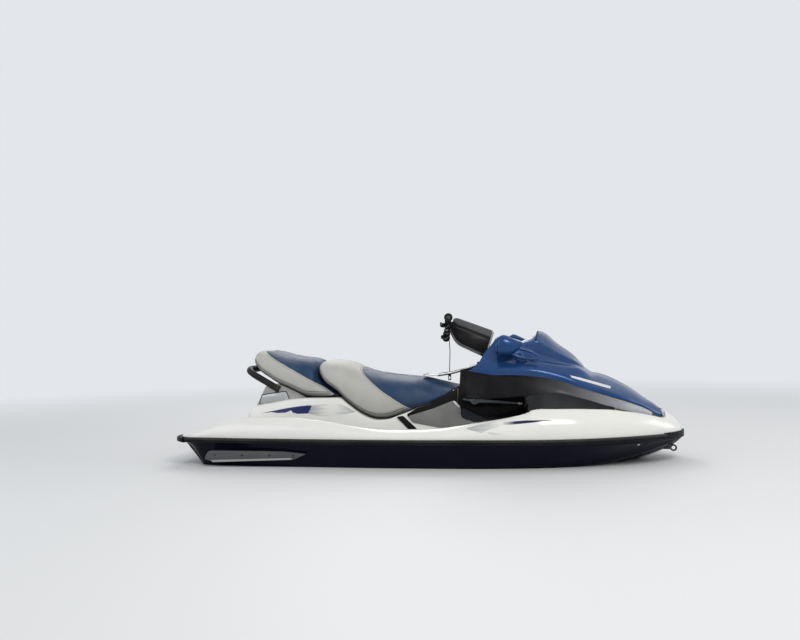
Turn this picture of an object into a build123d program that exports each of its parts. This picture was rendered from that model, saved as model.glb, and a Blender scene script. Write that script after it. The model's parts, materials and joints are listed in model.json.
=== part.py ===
from build123d import *
import os
from math import atan2, cos, degrees, dist, pi, radians, sin, sqrt, tan

# Axes: x forward to the bow, y to port, z up, millimetres; the origin is amidships at the waterline

# Reach of cutting blocks, more than the boat's own size, and the gap between parts that seat face to face
beyond = 2000
seat_face_gap = 0.3

# Overall sizes and the levels of the hull and deck joint
stern_x = -1520
rail_bottom = 146
parting_z = 160
rail_top = 175
rail_proud = 22
floor_z = 182
hull_inset = 25
deck_inset = 8
bumper_x = (-1440, 1400)
bow_bumper_size = (34, 140, 179)
stern_bumper_size = (30, 142, 175)

# Plan of the hull and deck flange: knots of tangent arcs from the stern corner to the bow tip
corner_start = (stern_x, 385)
plan_knots = [(-1395, 522), (585, 560), (1410, 215), (1525, 0)]
side_heading = 6.2

# Lower hull lines: x, half width of the keel pad, keel z, half width at the chine, chine z
hull_lines = [
    (-1420, 125, -152, 440, -62),
    (-1000, 125, -152, 468, -60),
    (-400, 95, -152, 482, -54),
    (200, 60, -152, 476, -45),
    (650, 25, -134, 425, -26),
    (1000, 10, -72, 328, 10),
    (1250, 6, -4, 204, 56),
    (1400, 5, 54, 112, 94),
    (1480, 4, 98, 48, 120),
]
hull_wall = 10
bay_aft = -680
bay_fore = 560
flange_width = 62
duct_roof = [(-1050, 0), (-990, -22)]
duct_mouth = [(-700, -170), (-1020, -170), (-1046, -150)]

# Jet pump, intake and steering nozzle
round_sides = 24
pump_bore = 78
pump_wall = 8
pump_z = hull_lines[0][2] + pump_wall + pump_bore
pump_front = -1112
pump_rear = -1360
tunnel_side = 18
tunnel_above = 10
tunnel_half = pump_bore + pump_wall + tunnel_side
tunnel_top = pump_z + pump_bore + pump_wall + tunnel_above
hub_radius = 33
stator_front = -1310
stator_count = 7
stator_thick = 4
cone_foot = -1405
cone_end = -1462
cone_bore = 44
cone_tip = 8
tip_clearance = 1.5
impeller_front = -1190
impeller_rear = -1290
blade_count = 4
blade_thick = 5
blade_pitch = 440
blade_radii = (hub_radius - 5, 44, 60, 82)
blade_chords = 4
blade_margin = 8
nose_length = 26
nose_radius = 17
shaft_start = 30
shaft_radius = 14
shaft_running = 0.05
intake_half = 75
grate_bars = 5
grate_bar = 9
grate_x = (-1010, -748)
grate_rim = 12
grate_side = 10
grate_z = (-6, 4)
ride_plate_thick = 9
ride_plate_rear = -1418
ride_plate_half = tunnel_half + 14
nozzle_pivot_x = -1445
nozzle_swing_gap = 13
nozzle_wall = 6
nozzle_lead = 8
nozzle_end = -1535
nozzle_waist = 30
nozzle_pin = 8
nozzle_pin_stub = 5
bucket_pivot_x = -1452
bucket_gap = 22
bucket_wall = 8
bucket_low = 30
bucket_front = 6
bucket_arm = [(12, -12), (12, 14), (-60, 88), (-104, 34)]
bucket_arm_thick = 6
bucket_pin = 6
bracket_inner = pump_bore
bracket_thick = 6
bucket_half = bracket_inner + 18
bracket_half = 12
bracket_end = 8
bracket_root = 20

# Upper deck: share of the side's inset and rise at its bulge, then x, half width and z at the gunwale's top
deck_bulge = (0.12, 0.55)
deck_lines = [
    (-1500, 425, 188),
    (-1400, 465, 207),
    (-1280, 486, 253),
    (-1080, 500, 291),
    (-780, 508, 300),
    (-430, 512, 263),
    (-100, 512, 231),
    (180, 505, 240),
    (450, 492, 284),
    (690, 462, 347),
    (900, 412, 357),
    (1100, 334, 346),
    (1290, 232, 326),
    (1410, 140, 290),
    (1490, 50, 226),
]
well_inner = 292
well_outer = 452
well_front = 700
well_rear = -1140
platform_half = 430
well_corner = 60

# Pedestal top, which is also the line that both seats sit on: x, z
seat_line = [
    (-1135, 316),
    (-1085, 346),
    (-990, 360),
    (-840, 385),
    (-720, 391),
    (-545, 392),
    (-490, 356),
    (-425, 308),
    (-360, 273),
    (-295, 256),
    (-235, 259),
    (-160, 283),
    (-60, 318),
    (60, 354),
    (140, 402),
    (200, 440),
]
pedestal_foot = 290
pedestal_top_half = 236
pedestal_taper_z = 400
pedestal_wall = 14
pedestal_hollow_x = (-640, 190)
hatch_half = 200
hatch_depth = 12
hatch_inset = 20
seat_clear_x = 210
seat_clear_half = 262
seat_gap = 0.5

# Rear support and grab handle
support_line = [(-1108, 330), (-1036, 470), (-950, 476), (-860, 440), (-775, 396), (-740, 385)]
support_half = 205
support_sink = 30
handle_path = [(-955, 200, 446), (-1168, 190, 578), (-1168, -190, 578), (-955, -200, 446)]
handle_bend = 95
handle_section = (26, 34)
handle_corner = 8
handle_steps = 26

# Level at which the side lines of both seats start
seat_foot_z = 200

# Rear seat: outline in side view, then widths
rear_seat_top = [(-1124, 628), (-1100, 668), (-1072, 694), (-985, 678), (-890, 652), (-800, 648), (-738, 632)]
rear_seat_front = [(-706, 600), (-704, 548), (-664, 486), (-598, 440), (-560, 412)]
rear_seat_under = [(-1060, 540), (-990, 496)]
rear_seat_foot = [(-720, 391), (-560, 392)]
rear_seat_sections = [
    (-1130, 150, 130, 640, 100, 690),
    (-1020, 205, 196, 640, 150, 694),
    (-860, 232, 218, 600, 165, 664),
    (-700, 246, 232, 560, 172, 650),
    (-540, 250, 240, 540, 172, 645),
]

# Front seat: outline in side view, then widths
front_seat_rear = [(-550, 404), (-586, 446), (-652, 492), (-692, 552), (-694, 600), (-672, 624)]
front_seat_top = [(-655, 627), (-530, 616), (-480, 590), (-355, 549), (-250, 527), (-140, 514), (-40, 506)]
front_seat_nose = [(60, 486), (150, 462), (203, 448)]
front_seat_start = -548
front_seat_sections = [
    (-710, 240, 232, 560, 165, 640),
    (-520, 252, 240, 540, 158, 622),
    (-340, 262, 236, 430, 140, 556),
    (-150, 262, 222, 400, 128, 524),
    (40, 240, 200, 400, 118, 500),
    (210, 215, 180, 400, 105, 462),
]

# Console, glove box and seat base panels
console_sections = [
    (206, 238, 112, 552),
    (330, 228, 118, 578),
    (470, 206, 130, 576),
    (600, 186, 140, 520),
]
console_lean = 14
console_knee_z = 330
glove_box_x = (214, 318)
glove_box_half = 74
glove_box_floor = 400
glove_box_top = 520
glove_wall = 4
lid_rear = (-22, 514)
lid_front = (318, 586)
lid_half = 92
lid_thick = 9
lid_barrel = 5
lid_lip = [(-8, 2), (-10, 22), (4, 24), (8, lid_thick), (2, 0)]
lid_lug = (16, 10, 44)
lid_lug_drop = 14
panel_thick = 6
base_panel_outline = [(-96, 200), (-96, 282), (60, 330), (178, 382), (200, 372), (246, 300), (300, 232), (290, 200)]
base_panel_inset = 8
base_panel_reach = 40
panel_outline = [(480, 540), (462, 600), (506, 672), (596, 694), (600, 510)]
panel_half = 96

# Side panels and lower front trims: x, lower edge (y, z), upper edge (y, z)
side_panel_lines = [
    (275, 392, 392, 342, 552),
    (450, 404, 398, 357, 526),
    (640, 416, 414, 356, 526),
    (800, 414, 424, 345, 498),
    (950, 384, 396, 322, 446),
    (1100, 318, 350, 272, 396),
    (1240, 238, 322, 206, 346),
    (1350, 152, 297, 128, 306),
]
trim_lines = [
    (640, 470, 330, 416, 414),
    (800, 446, 352, 414, 424),
    (950, 400, 352, 384, 396),
    (1080, 336, 342, 327, 357),
]
panel_wall = 8

# Hood lines: x, lower edge (y, z), shoulder (y, z), top (y, z)
hood_lines = [
    (262, 340, 558, 322, 572, 240, 590),
    (450, 356, 532, 326, 612, 236, 752),
    (600, 356, 532, 318, 606, 214, 716),
    (760, 346, 512, 300, 570, 180, 652),
    (950, 322, 452, 264, 505, 122, 566),
    (1100, 272, 402, 220, 446, 96, 500),
    (1240, 204, 352, 156, 384, 64, 414),
    (1350, 126, 310, 86, 330, 34, 342),
    (1402, 60, 274, 44, 290, 16, 302),
]
hood_wall = 7
hood_clearance = 5
space_drop = 60
hood_rear_cut = ((262, 552), (452, 762))
notch_half = 122
notch_front = 618
hood_hinge = (1396, 293)
hinge_barrel = 8.5
hinge_length = 70
hinge_pin = 4
pin_running = 0.05
hinge_lug = 10
lug_drop = 92
nose_swing = 18
nose_gap = 6
hinge_lug_width = 12
hood_nose_wall = 26
hood_cut_run = (200, 260)
notch_floor = 400
lug_room = (40, 80)
lug_room_drop = 10

# Wind deflector sections: x, base (y, z), side (y, z), shoulder (y, z), crest z
deflector_lines = [
    (640, 205, 640, 204, 716, 110, 748, 762),
    (694, 206, 640, 204, 728, 108, 764, 778),
    (820, 186, 590, 176, 640, 92, 676, 686),
    (946, 140, 548, 118, 566, 50, 576, 578),
]
deflector_wall = 8
deflector_open = 40
deflector_hollow_end = 860
deflector_rear_cut = [(560, 560), (560, 900), (690, 900), (676, 752), (641, 716), (641, 560)]
crest_half = 4

# Mirrors: sections of the pod along x: x, half width, half height; centre y, z
mirror_centre = (338, 694)
mirror_sections = [(458, 44, 46), (500, 56, 56), (560, 46, 46), (604, 16, 16)]
mirror_loop = [(540, 640), (600, 704), (660, 680), (708, 640), (700, 590), (600, 590)]
mirror_hole = [(600, 650), (612, 676), (655, 662), (676, 642)]
mirror_facets = 12
loop_thick = 22
loop_inset = 4
glass_thick = 3
glass_inset = 5

# Storage bin under the hood
bin_x = (650, 1130)
bin_half = 200
bin_floor = 190
bin_wall = 4
bin_top = 366
bin_lip = 14
bin_lip_z = 340
bin_room = 1
hood_room_start = 50

# Steering
steering_pivot = (330, 0, 660)
steering_rake = 45
steering_rest = 15
column_radius = 24
column_length = (-132, 150)
cover_profile = [(352, 628), (398, 762), (236, 822), (150, 850), (118, 820), (166, 716)]
cover_half = 66
pad_inset = 6
pad_front = [(-16, 20), (-10, 4)]
pad_rear = [(8, -2), (16, 16)]
bar_radius = 11
bar_x = 112
bar_z = 808
bar_half = 352
grip_radius = 18
grip_length = 118
flange_radius = 27
flange_thick = 6
throttle_gap = 24
throttle_wall = 9
throttle_clamp = 34
throttle_body = ((-40, -14, -34), (0, 14, -8))
throttle_reach = (-48, -40)
throttle_z = (-34, -18)
lever_length = 96
switch_gap = 28
switch_wall = 13
switch_length = 44
switch_body = ((-36, -18, -30), (0, 18, -6))

# Lanyard cord route, hanging from the post on the switch housing
cord_radius = 2.6
post_length = 30
post_radius = 2.2 * cord_radius
bend_limit = 4000
clip_size = (9, 6, 52)
clip_hole = (5, 26, 46)
cord_route = [
    (86, 209, 745),
    (91, 221, 688),
    (87, 228, 606),
    (84, 229, 560),
    (83, 230, 520),
]

# Fittings
sponson_outline = [(-1306, 50), (-1276, 98), (-800, 98), (-655, 84), (-730, 52), (-1258, 34)]
sponson_half = 32
sponson_y = 522
bow_eye = (1466, 0, 66)
eye_outer = 21
eye_bore = 11
eye_thick = 10
eye_stem = 18
eye_facets = 12
bow_eye_reach = -60
stern_eye = (300, 60)
stern_eye_gap = 6
stern_eye_reach = 34
block_x = (-600, -90)
block_half = 160
block_z = (-70, 215)
sump_half = 48
sump_inset = 40
sump_floor = -142
mat_thick = 4
mat_margin = (120, 24)
mat_corner = 50
mat_shift = 10
platform_mat = (-1330, 290, 60)
platform_corner = 60
lever_hub = (318, 372)
hub_size = (26, 50)
hub_shift = 14
lever_arm = [(-60, -2), (-60, 6), (0, 14), (250, -8), (250, -16), (0, -14)]
lever_half = 5
lever_inset = 10


def chain_headings(knots, heading):
    """heading in degrees at each knot of a chain of tangent arcs"""
    headings = [heading]
    for start, end in zip(knots, knots[1:]):
        chord = degrees(atan2(end[1] - start[1], end[0] - start[0]))
        headings.append(2 * chord - headings[-1])
    return headings


def plan_side():
    """port half of the flange's outline, from the stern's centre to the bow's tip"""
    headings = chain_headings(plan_knots, side_heading)
    back = radians(headings[0] + 180)
    edges = [
        Line((stern_x, 0), corner_start),
        TangentArc(plan_knots[0], corner_start, tangent=(cos(back), sin(back))),
    ]
    for start, end, heading in zip(plan_knots, plan_knots[1:], headings):
        turn = radians(heading)
        edges.append(TangentArc(start, end, tangent=(cos(turn), sin(turn))))
    return edges


def plan_face(grow=0):
    """plan of the flange, moved outward by grow"""
    edges = plan_side()
    edges += [edge.mirror(Plane.XZ) for edge in edges]
    face = make_face(edges)
    if grow == 0:
        return face
    return offset(face, amount=grow, kind=Kind.ARC)


def half_beam(x):
    """half width of the flange at station x, from the tangent arcs"""
    headings = chain_headings(plan_knots, side_heading)
    for start, end, heading in zip(plan_knots, plan_knots[1:], headings):
        if x <= end[0]:
            break
    normal = (sin(radians(heading)), -cos(radians(heading)))
    dx, dy = end[0] - start[0], end[1] - start[1]
    radius = (dx * dx + dy * dy) / (2 * (dx * normal[0] + dy * normal[1]))
    centre = (start[0] + radius * normal[0], start[1] + radius * normal[1])
    return centre[1] + sqrt(radius ** 2 - (x - centre[0]) ** 2)


def cross_ring(x, half):
    """closed ring across the boat at station x, from (y, z) points of its port half"""
    return [(x, y, z) for y, z in half] + [(x, -y, z) for y, z in reversed(half)]


def flat_face(corners):
    return Face(Wire.make_polygon([Vector(*corner) for corner in corners], close=True))


def skinned(rings):
    """solid through rings of equal corner counts; each side is two flat faces, split at its shorter diagonal"""
    faces = [flat_face(rings[0][::-1]), flat_face(rings[-1])]
    for near, far in zip(rings, rings[1:]):
        for a, b, c, d in zip(near, near[1:] + near[:1], far[1:] + far[:1], far):
            if dist(a, c) > dist(b, d):
                a, b, c, d = b, c, d, a
            faces.append(flat_face([a, b, c]))
            faces.append(flat_face([a, c, d]))
    return Part() + Solid(Shell(faces))


def side_slab(points, half, centre=0):
    """prism across the boat from a closed (x, z) outline"""
    face = make_face(Polyline(*[(x, z) for x, z in points], close=True))
    plane = Plane(origin=(0, centre, 0), x_dir=(1, 0, 0), z_dir=(0, -1, 0))
    return extrude(plane * face, amount=half, both=True)


def box_between(low, high):
    """box from its lowest to its highest corner"""
    size = [b - a for a, b in zip(low, high)]
    middle = [(a + b) / 2 for a, b in zip(low, high)]
    return Pos(*middle) * Box(*size)


def box_at(place, corners):
    """box between two corners that are measured from a place"""
    return box_between(*[[a + b for a, b in zip(place, corner)] for corner in corners])


def x_cylinder(radius, start, end, y=0, z=0):
    """cylinder along x"""
    return Pos((start + end) / 2, y, z) * Rot(0, 90, 0) * Cylinder(radius, abs(end - start))


def slab_plan(face, low, high):
    """prism upward from a plan face"""
    return Pos(0, 0, low) * extrude(face, amount=high - low)


def round_skin(rows):
    """tapered round form along x, from stations and radii"""
    turns = [2 * pi * index / round_sides for index in range(round_sides)]
    return skinned([[(x, radius * cos(turn), radius * sin(turn)) for turn in turns] for x, radius in rows])


def hull_rows(wall):
    """sections of the lower hull, shrunk by a wall thickness"""
    rings = []
    for x, pad, keel, chine, chine_z in hull_lines:
        top = half_beam(x) - hull_inset
        half = [
            (max(pad - wall / 2, 2), keel + wall),
            (chine - wall, chine_z + wall),
            (top - wall, rail_bottom),
        ]
        rings.append(cross_ring(x, half))
    return rings


def intake_duct():
    """water duct from the bottom opening up to the pump"""
    low = pump_z - pump_bore
    high = pump_z + pump_bore
    outline = [
        (pump_front - 1, low),
        (pump_front - 1, high),
    ]
    outline += [(x, high + drop) for x, drop in duct_roof] + duct_mouth
    return side_slab(outline, intake_half)


def make_lower_hull():
    shell = skinned(hull_rows(0))
    shell += slab_plan(plan_face(), rail_bottom, parting_z)
    bay = skinned(hull_rows(hull_wall))
    bay += slab_plan(offset(plan_face(), amount=-flange_width), rail_bottom - 1, parting_z + 1)
    bay &= box_between((bay_aft, -beyond, -beyond), (bay_fore, beyond, beyond))
    tunnel = box_between((-beyond, -tunnel_half, -beyond), (pump_front, tunnel_half, tunnel_top))
    bore = x_cylinder(shaft_radius + shaft_running, pump_front, bay_aft + 1, 0, pump_z)
    return shell - bay - tunnel - intake_duct() - bore


def deck_rows():
    """sections of the upper deck above its flange"""
    rings = []
    inset, height = deck_bulge
    for x, top, top_z in deck_lines:
        foot = half_beam(x) - deck_inset
        rise = top_z - parting_z
        half = [
            (foot, parting_z + 2),
            (foot - inset * (foot - top), parting_z + height * rise),
            (top, top_z),
        ]
        rings.append(cross_ring(x, half))
    return rings


def pedestal_prism(foot, top, low):
    """tapered prism along the boat that bounds the pedestal's sides"""
    half = [(foot, low), (top, pedestal_taper_z), (top, beyond)]
    return skinned([cross_ring(x, half) for x in (-beyond, beyond)])


def pedestal_solid(shrink):
    """pedestal under the seats, shrunk for its hollow"""
    outline = [(x, z - shrink) for x, z in seat_line]
    outline = [(seat_line[0][0] + shrink, parting_z)] + outline + [(seat_line[-1][0], parting_z)]
    prism = pedestal_prism(pedestal_foot - shrink, pedestal_top_half - shrink, parting_z)
    return side_slab(outline, beyond) & prism


def footwell_cutter():
    """space of both footwells and of the boarding platform"""
    cutter = box_between((-beyond, -platform_half, floor_z), (well_rear, platform_half, beyond))
    for side in (1, -1):
        middle = side * (well_inner + well_outer) / 2
        well = Rectangle(well_front - well_rear + well_corner, well_outer - well_inner)
        well = fillet(well.vertices(), well_corner)
        well = Pos((well_front + well_rear - well_corner) / 2, middle) * well
        cutter += slab_plan(well, floor_z, beyond)
    return cutter


def make_upper_deck():
    (seat_rear, seat_low), seat_front = seat_line[0], seat_line[-1][0]
    deck = skinned(deck_rows()) & slab_plan(plan_face(), parting_z, beyond)
    deck += slab_plan(plan_face(), parting_z, rail_top)
    deck -= footwell_cutter()
    deck -= box_between((well_rear - 1, -well_inner - 1, seat_low), (seat_clear_x, well_inner + 1, beyond))
    deck += pedestal_solid(0)
    deck -= side_slab(seat_line + [(seat_front, beyond), (seat_rear, beyond)], seat_clear_half)
    rear, front = pedestal_hollow_x
    deck -= pedestal_solid(pedestal_wall) & box_between((rear, -beyond, -beyond), (front, beyond, beyond))
    deck -= box_between((rear, -hatch_half, -beyond), (bay_fore - hatch_inset, hatch_half, parting_z + hatch_depth))
    deck -= box_between(
        (bin_x[0] - bin_room, -bin_half - bin_room, bin_floor - bin_room),
        (bin_x[1] + bin_room, bin_half + bin_room, beyond),
    )
    deck -= hood_space() & box_between((bin_x[0] + hood_room_start, -beyond, -beyond), (beyond, beyond, beyond))
    deck -= hinge_saddle()
    return deck + hinge_lugs()


def hinge_lugs():
    """two lugs of the deck and the pin between them, which carries the hood's barrel"""
    x, z = hood_hinge
    inner = hinge_length / 2 + seat_face_gap
    lugs = Pos(x, 0, z) * Rot(90, 0, 0) * Cylinder(hinge_pin, 2 * inner + 4)
    for side in (1, -1):
        y = side * (inner + hinge_lug / 2)
        lugs += Pos(x, y, z) * Rot(90, 0, 0) * Cylinder(hinge_barrel - 2, hinge_lug)
        lugs += Pos(x, y, z - lug_drop / 2) * Box(hinge_lug_width, hinge_lug, lug_drop)
    return lugs


def hinge_saddle():
    """clearance in the deck round the hood's hinge barrel and its turning nose"""
    x, z = hood_hinge
    length = 2 * (hood_lines[-1][1] + nose_gap)
    return Pos(x, 0, z) * Rot(90, 0, 0) * Cylinder(nose_swing, length)


def make_rub_rail():
    outer = slab_plan(plan_face(rail_proud), rail_bottom, rail_top)
    inner = slab_plan(plan_face(), rail_bottom - 1, rail_top + 1)
    rail = outer - inner
    return rail - bow_zone() - stern_zone()


def bow_zone():
    """block that holds the bow bumper"""
    return box_between((bumper_x[1], -beyond, -beyond), (beyond, beyond, beyond))


def stern_zone():
    """block that holds the stern bumper"""
    return box_between((-beyond, -beyond, -beyond), (bumper_x[0], beyond, beyond))


def bumper(zone, grow, low, high):
    """thicker end piece of the rail"""
    outer = slab_plan(plan_face(grow), low, high)
    inner = slab_plan(plan_face(), low - 1, high + 1)
    return (outer - inner) & zone


def make_sponson(side, hull):
    block = side_slab(sponson_outline, sponson_half, side * sponson_y)
    return biggest(block - hull)


def biggest(shape):
    """the largest solid of a shape"""
    return sorted(shape.solids(), key=lambda solid: solid.volume)[-1]


def make_ride_plate():
    keel = hull_lines[0][2]
    return box_between((ride_plate_rear, -ride_plate_half, keel - ride_plate_thick),
                       (pump_front - 2, ride_plate_half, keel))


def make_intake_grate():
    keel = hull_lines[0][2]
    rear, front = grate_x
    low, high = keel + grate_z[0], keel + grate_z[1]
    half = intake_half - seat_face_gap
    inner = half - grate_side
    frame = box_between((rear, -half, low), (front, half, high))
    frame -= box_between((rear + grate_rim, -inner, -beyond), (front - grate_rim, inner, beyond))
    bar_rear, bar_front = rear + grate_rim - 2, front - grate_rim + 2
    for index in range(grate_bars):
        y = -inner + 2 * inner / (grate_bars + 1) * (index + 1)
        frame += box_between((bar_rear, y - grate_bar / 2, low), (bar_front, y + grate_bar / 2, high))
    return frame


def make_jet_pump_housing():
    neck = cone_bore + nozzle_wall
    housing = x_cylinder(pump_bore + pump_wall, cone_foot, pump_front - 2)
    housing += x_cylinder(neck, cone_end, cone_foot + 1)
    housing -= x_cylinder(pump_bore, pump_rear, pump_front)
    housing -= round_skin([(pump_rear + 1, pump_bore), (pump_rear, pump_bore), (cone_foot, cone_bore)])
    housing -= x_cylinder(cone_bore, cone_end - 1, cone_foot + 1)
    housing += x_cylinder(hub_radius, pump_rear, stator_front)
    housing += round_skin([(pump_rear + 1, hub_radius - 1), (pump_rear, hub_radius - 1), (cone_foot, cone_tip)])
    length = stator_front - pump_rear
    for index in range(stator_count):
        vane = box_between(
            (stator_front - length, -stator_thick / 2, hub_radius - 2),
            (stator_front, stator_thick / 2, pump_bore + 2),
        )
        housing += Rot(360 / stator_count * index, 0, 0) * vane
    for side in (1, -1):
        y = side * (bracket_inner + bracket_thick / 2)
        bracket = box_between((bucket_pivot_x - bracket_end, y - bracket_thick / 2, -bracket_half),
                              (pump_rear + bracket_root, y + bracket_thick / 2, bracket_half))
        pin_length = bucket_half - bucket_arm_thick - seat_face_gap - bracket_inner
        pin = Rot(90, 0, 0) * Cylinder(bucket_pin, pin_length)
        housing += bracket
        housing += Pos(bucket_pivot_x, side * (bracket_inner + pin_length / 2), 0) * pin
    return Pos(0, 0, pump_z) * housing


def impeller_blade():
    """twisted blade: its angle grows with the radius, as a screw's does"""
    length = impeller_front - impeller_rear - blade_margin
    middle = (impeller_front + impeller_rear) / 2
    rings = []
    for radius in blade_radii:
        lean = atan2(2 * pi * radius, blade_pitch)
        chord = length / cos(lean)
        face = [chord * (0.5 - step / blade_chords) for step in range(blade_chords + 1)]
        corners = [(u, blade_thick / 2) for u in face] + [(u, -blade_thick / 2) for u in reversed(face)]
        rings.append([(middle + u * cos(lean) - v * sin(lean), u * sin(lean) + v * cos(lean), radius)
                      for u, v in corners])
    return skinned(rings)


def make_impeller():
    hub = x_cylinder(hub_radius, impeller_rear, impeller_front)
    tip = impeller_front + nose_length
    nose = [(impeller_front, 0), (impeller_front, hub_radius), (tip, nose_radius), (tip, 0)]
    hub += revolve(make_face(Polyline(*nose, close=True)), Axis.X)
    for index in range(blade_count):
        hub += Rot(360 / blade_count * index, 0, 0) * impeller_blade()
    hub &= x_cylinder(pump_bore - tip_clearance, impeller_rear, tip + 1)
    hub -= x_cylinder(shaft_radius, impeller_rear + shaft_start, tip + 1)
    return Pos(0, 0, pump_z) * hub


def make_drive_shaft():
    return x_cylinder(shaft_radius, impeller_rear + shaft_start, block_x[0] - seat_face_gap, 0, pump_z)


def make_steering_nozzle():
    bore = cone_bore + nozzle_wall + nozzle_swing_gap
    front, waist = nozzle_pivot_x + nozzle_lead, nozzle_pivot_x - nozzle_waist
    outer = [(front, bore + nozzle_wall), (waist, bore + nozzle_wall), (nozzle_end, cone_bore + nozzle_wall)]
    inner = [(front + 1, bore), (waist, bore), (nozzle_end, cone_bore), (nozzle_end - 1, cone_bore)]
    body = Pos(0, 0, pump_z) * (round_skin(outer) - round_skin(inner))
    for side in (1, -1):
        spout = cone_bore + nozzle_wall + seat_face_gap
        length = bore + nozzle_wall + nozzle_pin_stub - spout
        body += Pos(nozzle_pivot_x, 0, pump_z + side * (spout + length / 2)) * Cylinder(nozzle_pin, length)
    return body.rotate(Axis((nozzle_pivot_x, 0, 0), (0, 0, 1)), -steering_rest)


def make_reverse_bucket():
    reach = bucket_pivot_x - nozzle_end + bucket_gap
    outer = Pos(bucket_pivot_x, 0, pump_z) * Rot(90, 0, 0) * Cylinder(reach + bucket_wall, 2 * bucket_half)
    inner = Pos(bucket_pivot_x, 0, pump_z) * Rot(90, 0, 0) * Cylinder(reach, 2 * bucket_half + 2)
    shell = outer - inner
    shell &= box_between((-beyond, -beyond, pump_z + bucket_low), (bucket_pivot_x - bucket_front, beyond, beyond))
    arm = [(bucket_pivot_x + x, pump_z + z) for x, z in bucket_arm]
    for side in (1, -1):
        shell += side_slab(arm, bucket_arm_thick / 2, side * (bucket_half - bucket_arm_thick / 2))
    return shell


def make_engine_block(hull):
    block = box_between((block_x[0], -block_half, block_z[0]), (block_x[1], block_half, block_z[1]))
    sump = box_between((block_x[0] + sump_inset, -sump_half, sump_floor),
                       (block_x[1] - sump_inset, sump_half, block_z[0]))
    return (block + sump) - hull


def make_rear_support():
    outline = support_line + [(x, z - support_sink) for x, z in reversed(seat_line[1:5])]
    body = side_slab(outline, support_half)
    return body - side_slab(pedestal_outline(), beyond)


def pedestal_outline():
    """closed side outline of everything below the seat line"""
    return [(seat_line[0][0], 0)] + list(seat_line) + [(seat_line[-1][0], 0)]


def handle_ring(path, share, normal):
    """eight-sided section of the grab handle at a share of its path"""
    (width, height), corner = handle_section, handle_corner
    centre = path.position_at(share)
    across = path.tangent_at(share).cross(normal)
    half = [(width / 2 - corner, height / 2), (width / 2, height / 2 - corner)]
    right = half + [(u, -v) for u, v in reversed(half)]
    corners = right + [(-u, -v) for u, v in right]
    return [tuple(centre + across * u + normal * v) for u, v in corners]


def make_grab_handle(support, seat):
    path = FilletPolyline(*handle_path, radius=handle_bend)
    rise = Vector(*handle_path[1]) - Vector(*handle_path[0])
    normal = rise.cross(Vector(0, 1, 0)).normalized()
    bar = skinned([handle_ring(path, step / handle_steps, normal) for step in range(handle_steps + 1)])
    return biggest(bar - support - seat)


def seat_sections(rows):
    """sections of a seat: x, half width low, half width and z of the side, half width and z of the top"""
    rings = []
    for x, low, mid, mid_z, top, top_z in rows:
        rings.append(cross_ring(x, [(low, seat_foot_z), (mid, mid_z), (top, top_z)]))
    return rings


def seat_body(outline, rows):
    return skinned(seat_sections(rows)) & side_slab(outline, beyond)


def make_rear_seat():
    seated = [(x, z + seat_gap) for x, z in support_line[2:5] + rear_seat_foot]
    outline = rear_seat_top + rear_seat_front + (rear_seat_under + seated)[::-1]
    return seat_body(outline, rear_seat_sections)


def make_front_seat():
    under = [(x, z + seat_gap) for x, z in seat_line if x > front_seat_start]
    outline = front_seat_rear + front_seat_top + front_seat_nose + under[::-1]
    return seat_body(outline, front_seat_sections)


def make_console(deck):
    rings = []
    for x, low, top, top_z in console_sections:
        foot = [(low, floor_z + seat_face_gap), (low - console_lean, console_knee_z)]
        rings.append(cross_ring(x, foot + [(top, top_z)]))
    body = skinned(rings)
    body -= box_between(
        (glove_box_x[0], -glove_box_half, glove_box_floor), (glove_box_x[1], glove_box_half, beyond)
    )
    body -= column_bore()
    body += lid_lugs()
    return body - deck


def column_bore():
    """bore in the console for the steering column"""
    low = column_length[0] - seat_face_gap
    return steering_frame() * Pos(0, 0, low / 2) * Cylinder(column_radius + seat_face_gap, -low)


def lid_lugs():
    """two lugs of the console at the ends of the lid's barrel"""
    x, z = lid_front[0], lid_front[1] + lid_thick / 2
    lugs = Part()
    for side in (1, -1):
        y = side * (lid_half + seat_face_gap + lid_lug[1] / 2)
        lugs += Pos(x, y, z - lid_lug_drop) * Box(*lid_lug)
    return lugs


def make_glove_box():
    x0, x1 = glove_box_x
    half, low = glove_box_half - seat_face_gap, glove_box_floor + seat_face_gap
    outer = box_between((x0 + seat_face_gap, -half, low), (x1 - seat_face_gap, half, glove_box_top))
    inner = box_between(
        (x0 + glove_wall, -glove_box_half + glove_wall, glove_box_floor + glove_wall),
        (x1 - glove_wall, glove_box_half - glove_wall, beyond),
    )
    return outer - inner


def lid_outline(low, high):
    """side outline of the lid between two heights above its lower line"""
    return [
        (lid_rear[0], lid_rear[1] + low),
        (lid_rear[0], lid_rear[1] + high),
        (lid_front[0], lid_front[1] + high),
        (lid_front[0], lid_front[1] + low),
    ]


def make_glove_box_lid():
    lid = side_slab(lid_outline(0, lid_thick), lid_half)
    lid += side_slab([(lid_rear[0] + x, lid_rear[1] + z) for x, z in lid_lip], lid_half)
    barrel = Pos(lid_front[0], 0, lid_front[1] + lid_thick / 2) * Rot(90, 0, 0)
    return lid + barrel * Cylinder(lid_barrel, 2 * lid_half)


def panel_solid(rows, side, wall):
    """thin curved panel between a lower and an upper edge"""
    rings = []
    for x, low_y, low_z, high_y, high_z in rows:
        points = [
            (low_y, low_z),
            (high_y, high_z),
            (high_y - wall, high_z - wall / 3),
            (low_y - wall, low_z),
        ]
        rings.append([(x, side * y, z) for y, z in points])
    return skinned(rings)


def make_seat_base_panel(side, deck):
    slab = side_slab(base_panel_outline, base_panel_reach, side * (pedestal_foot - base_panel_inset))
    prism = pedestal_prism(pedestal_foot + panel_thick, pedestal_top_half + panel_thick, parting_z)
    inner = pedestal_prism(pedestal_foot, pedestal_top_half, parting_z)
    return biggest((slab & (prism - inner)) - deck)


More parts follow.
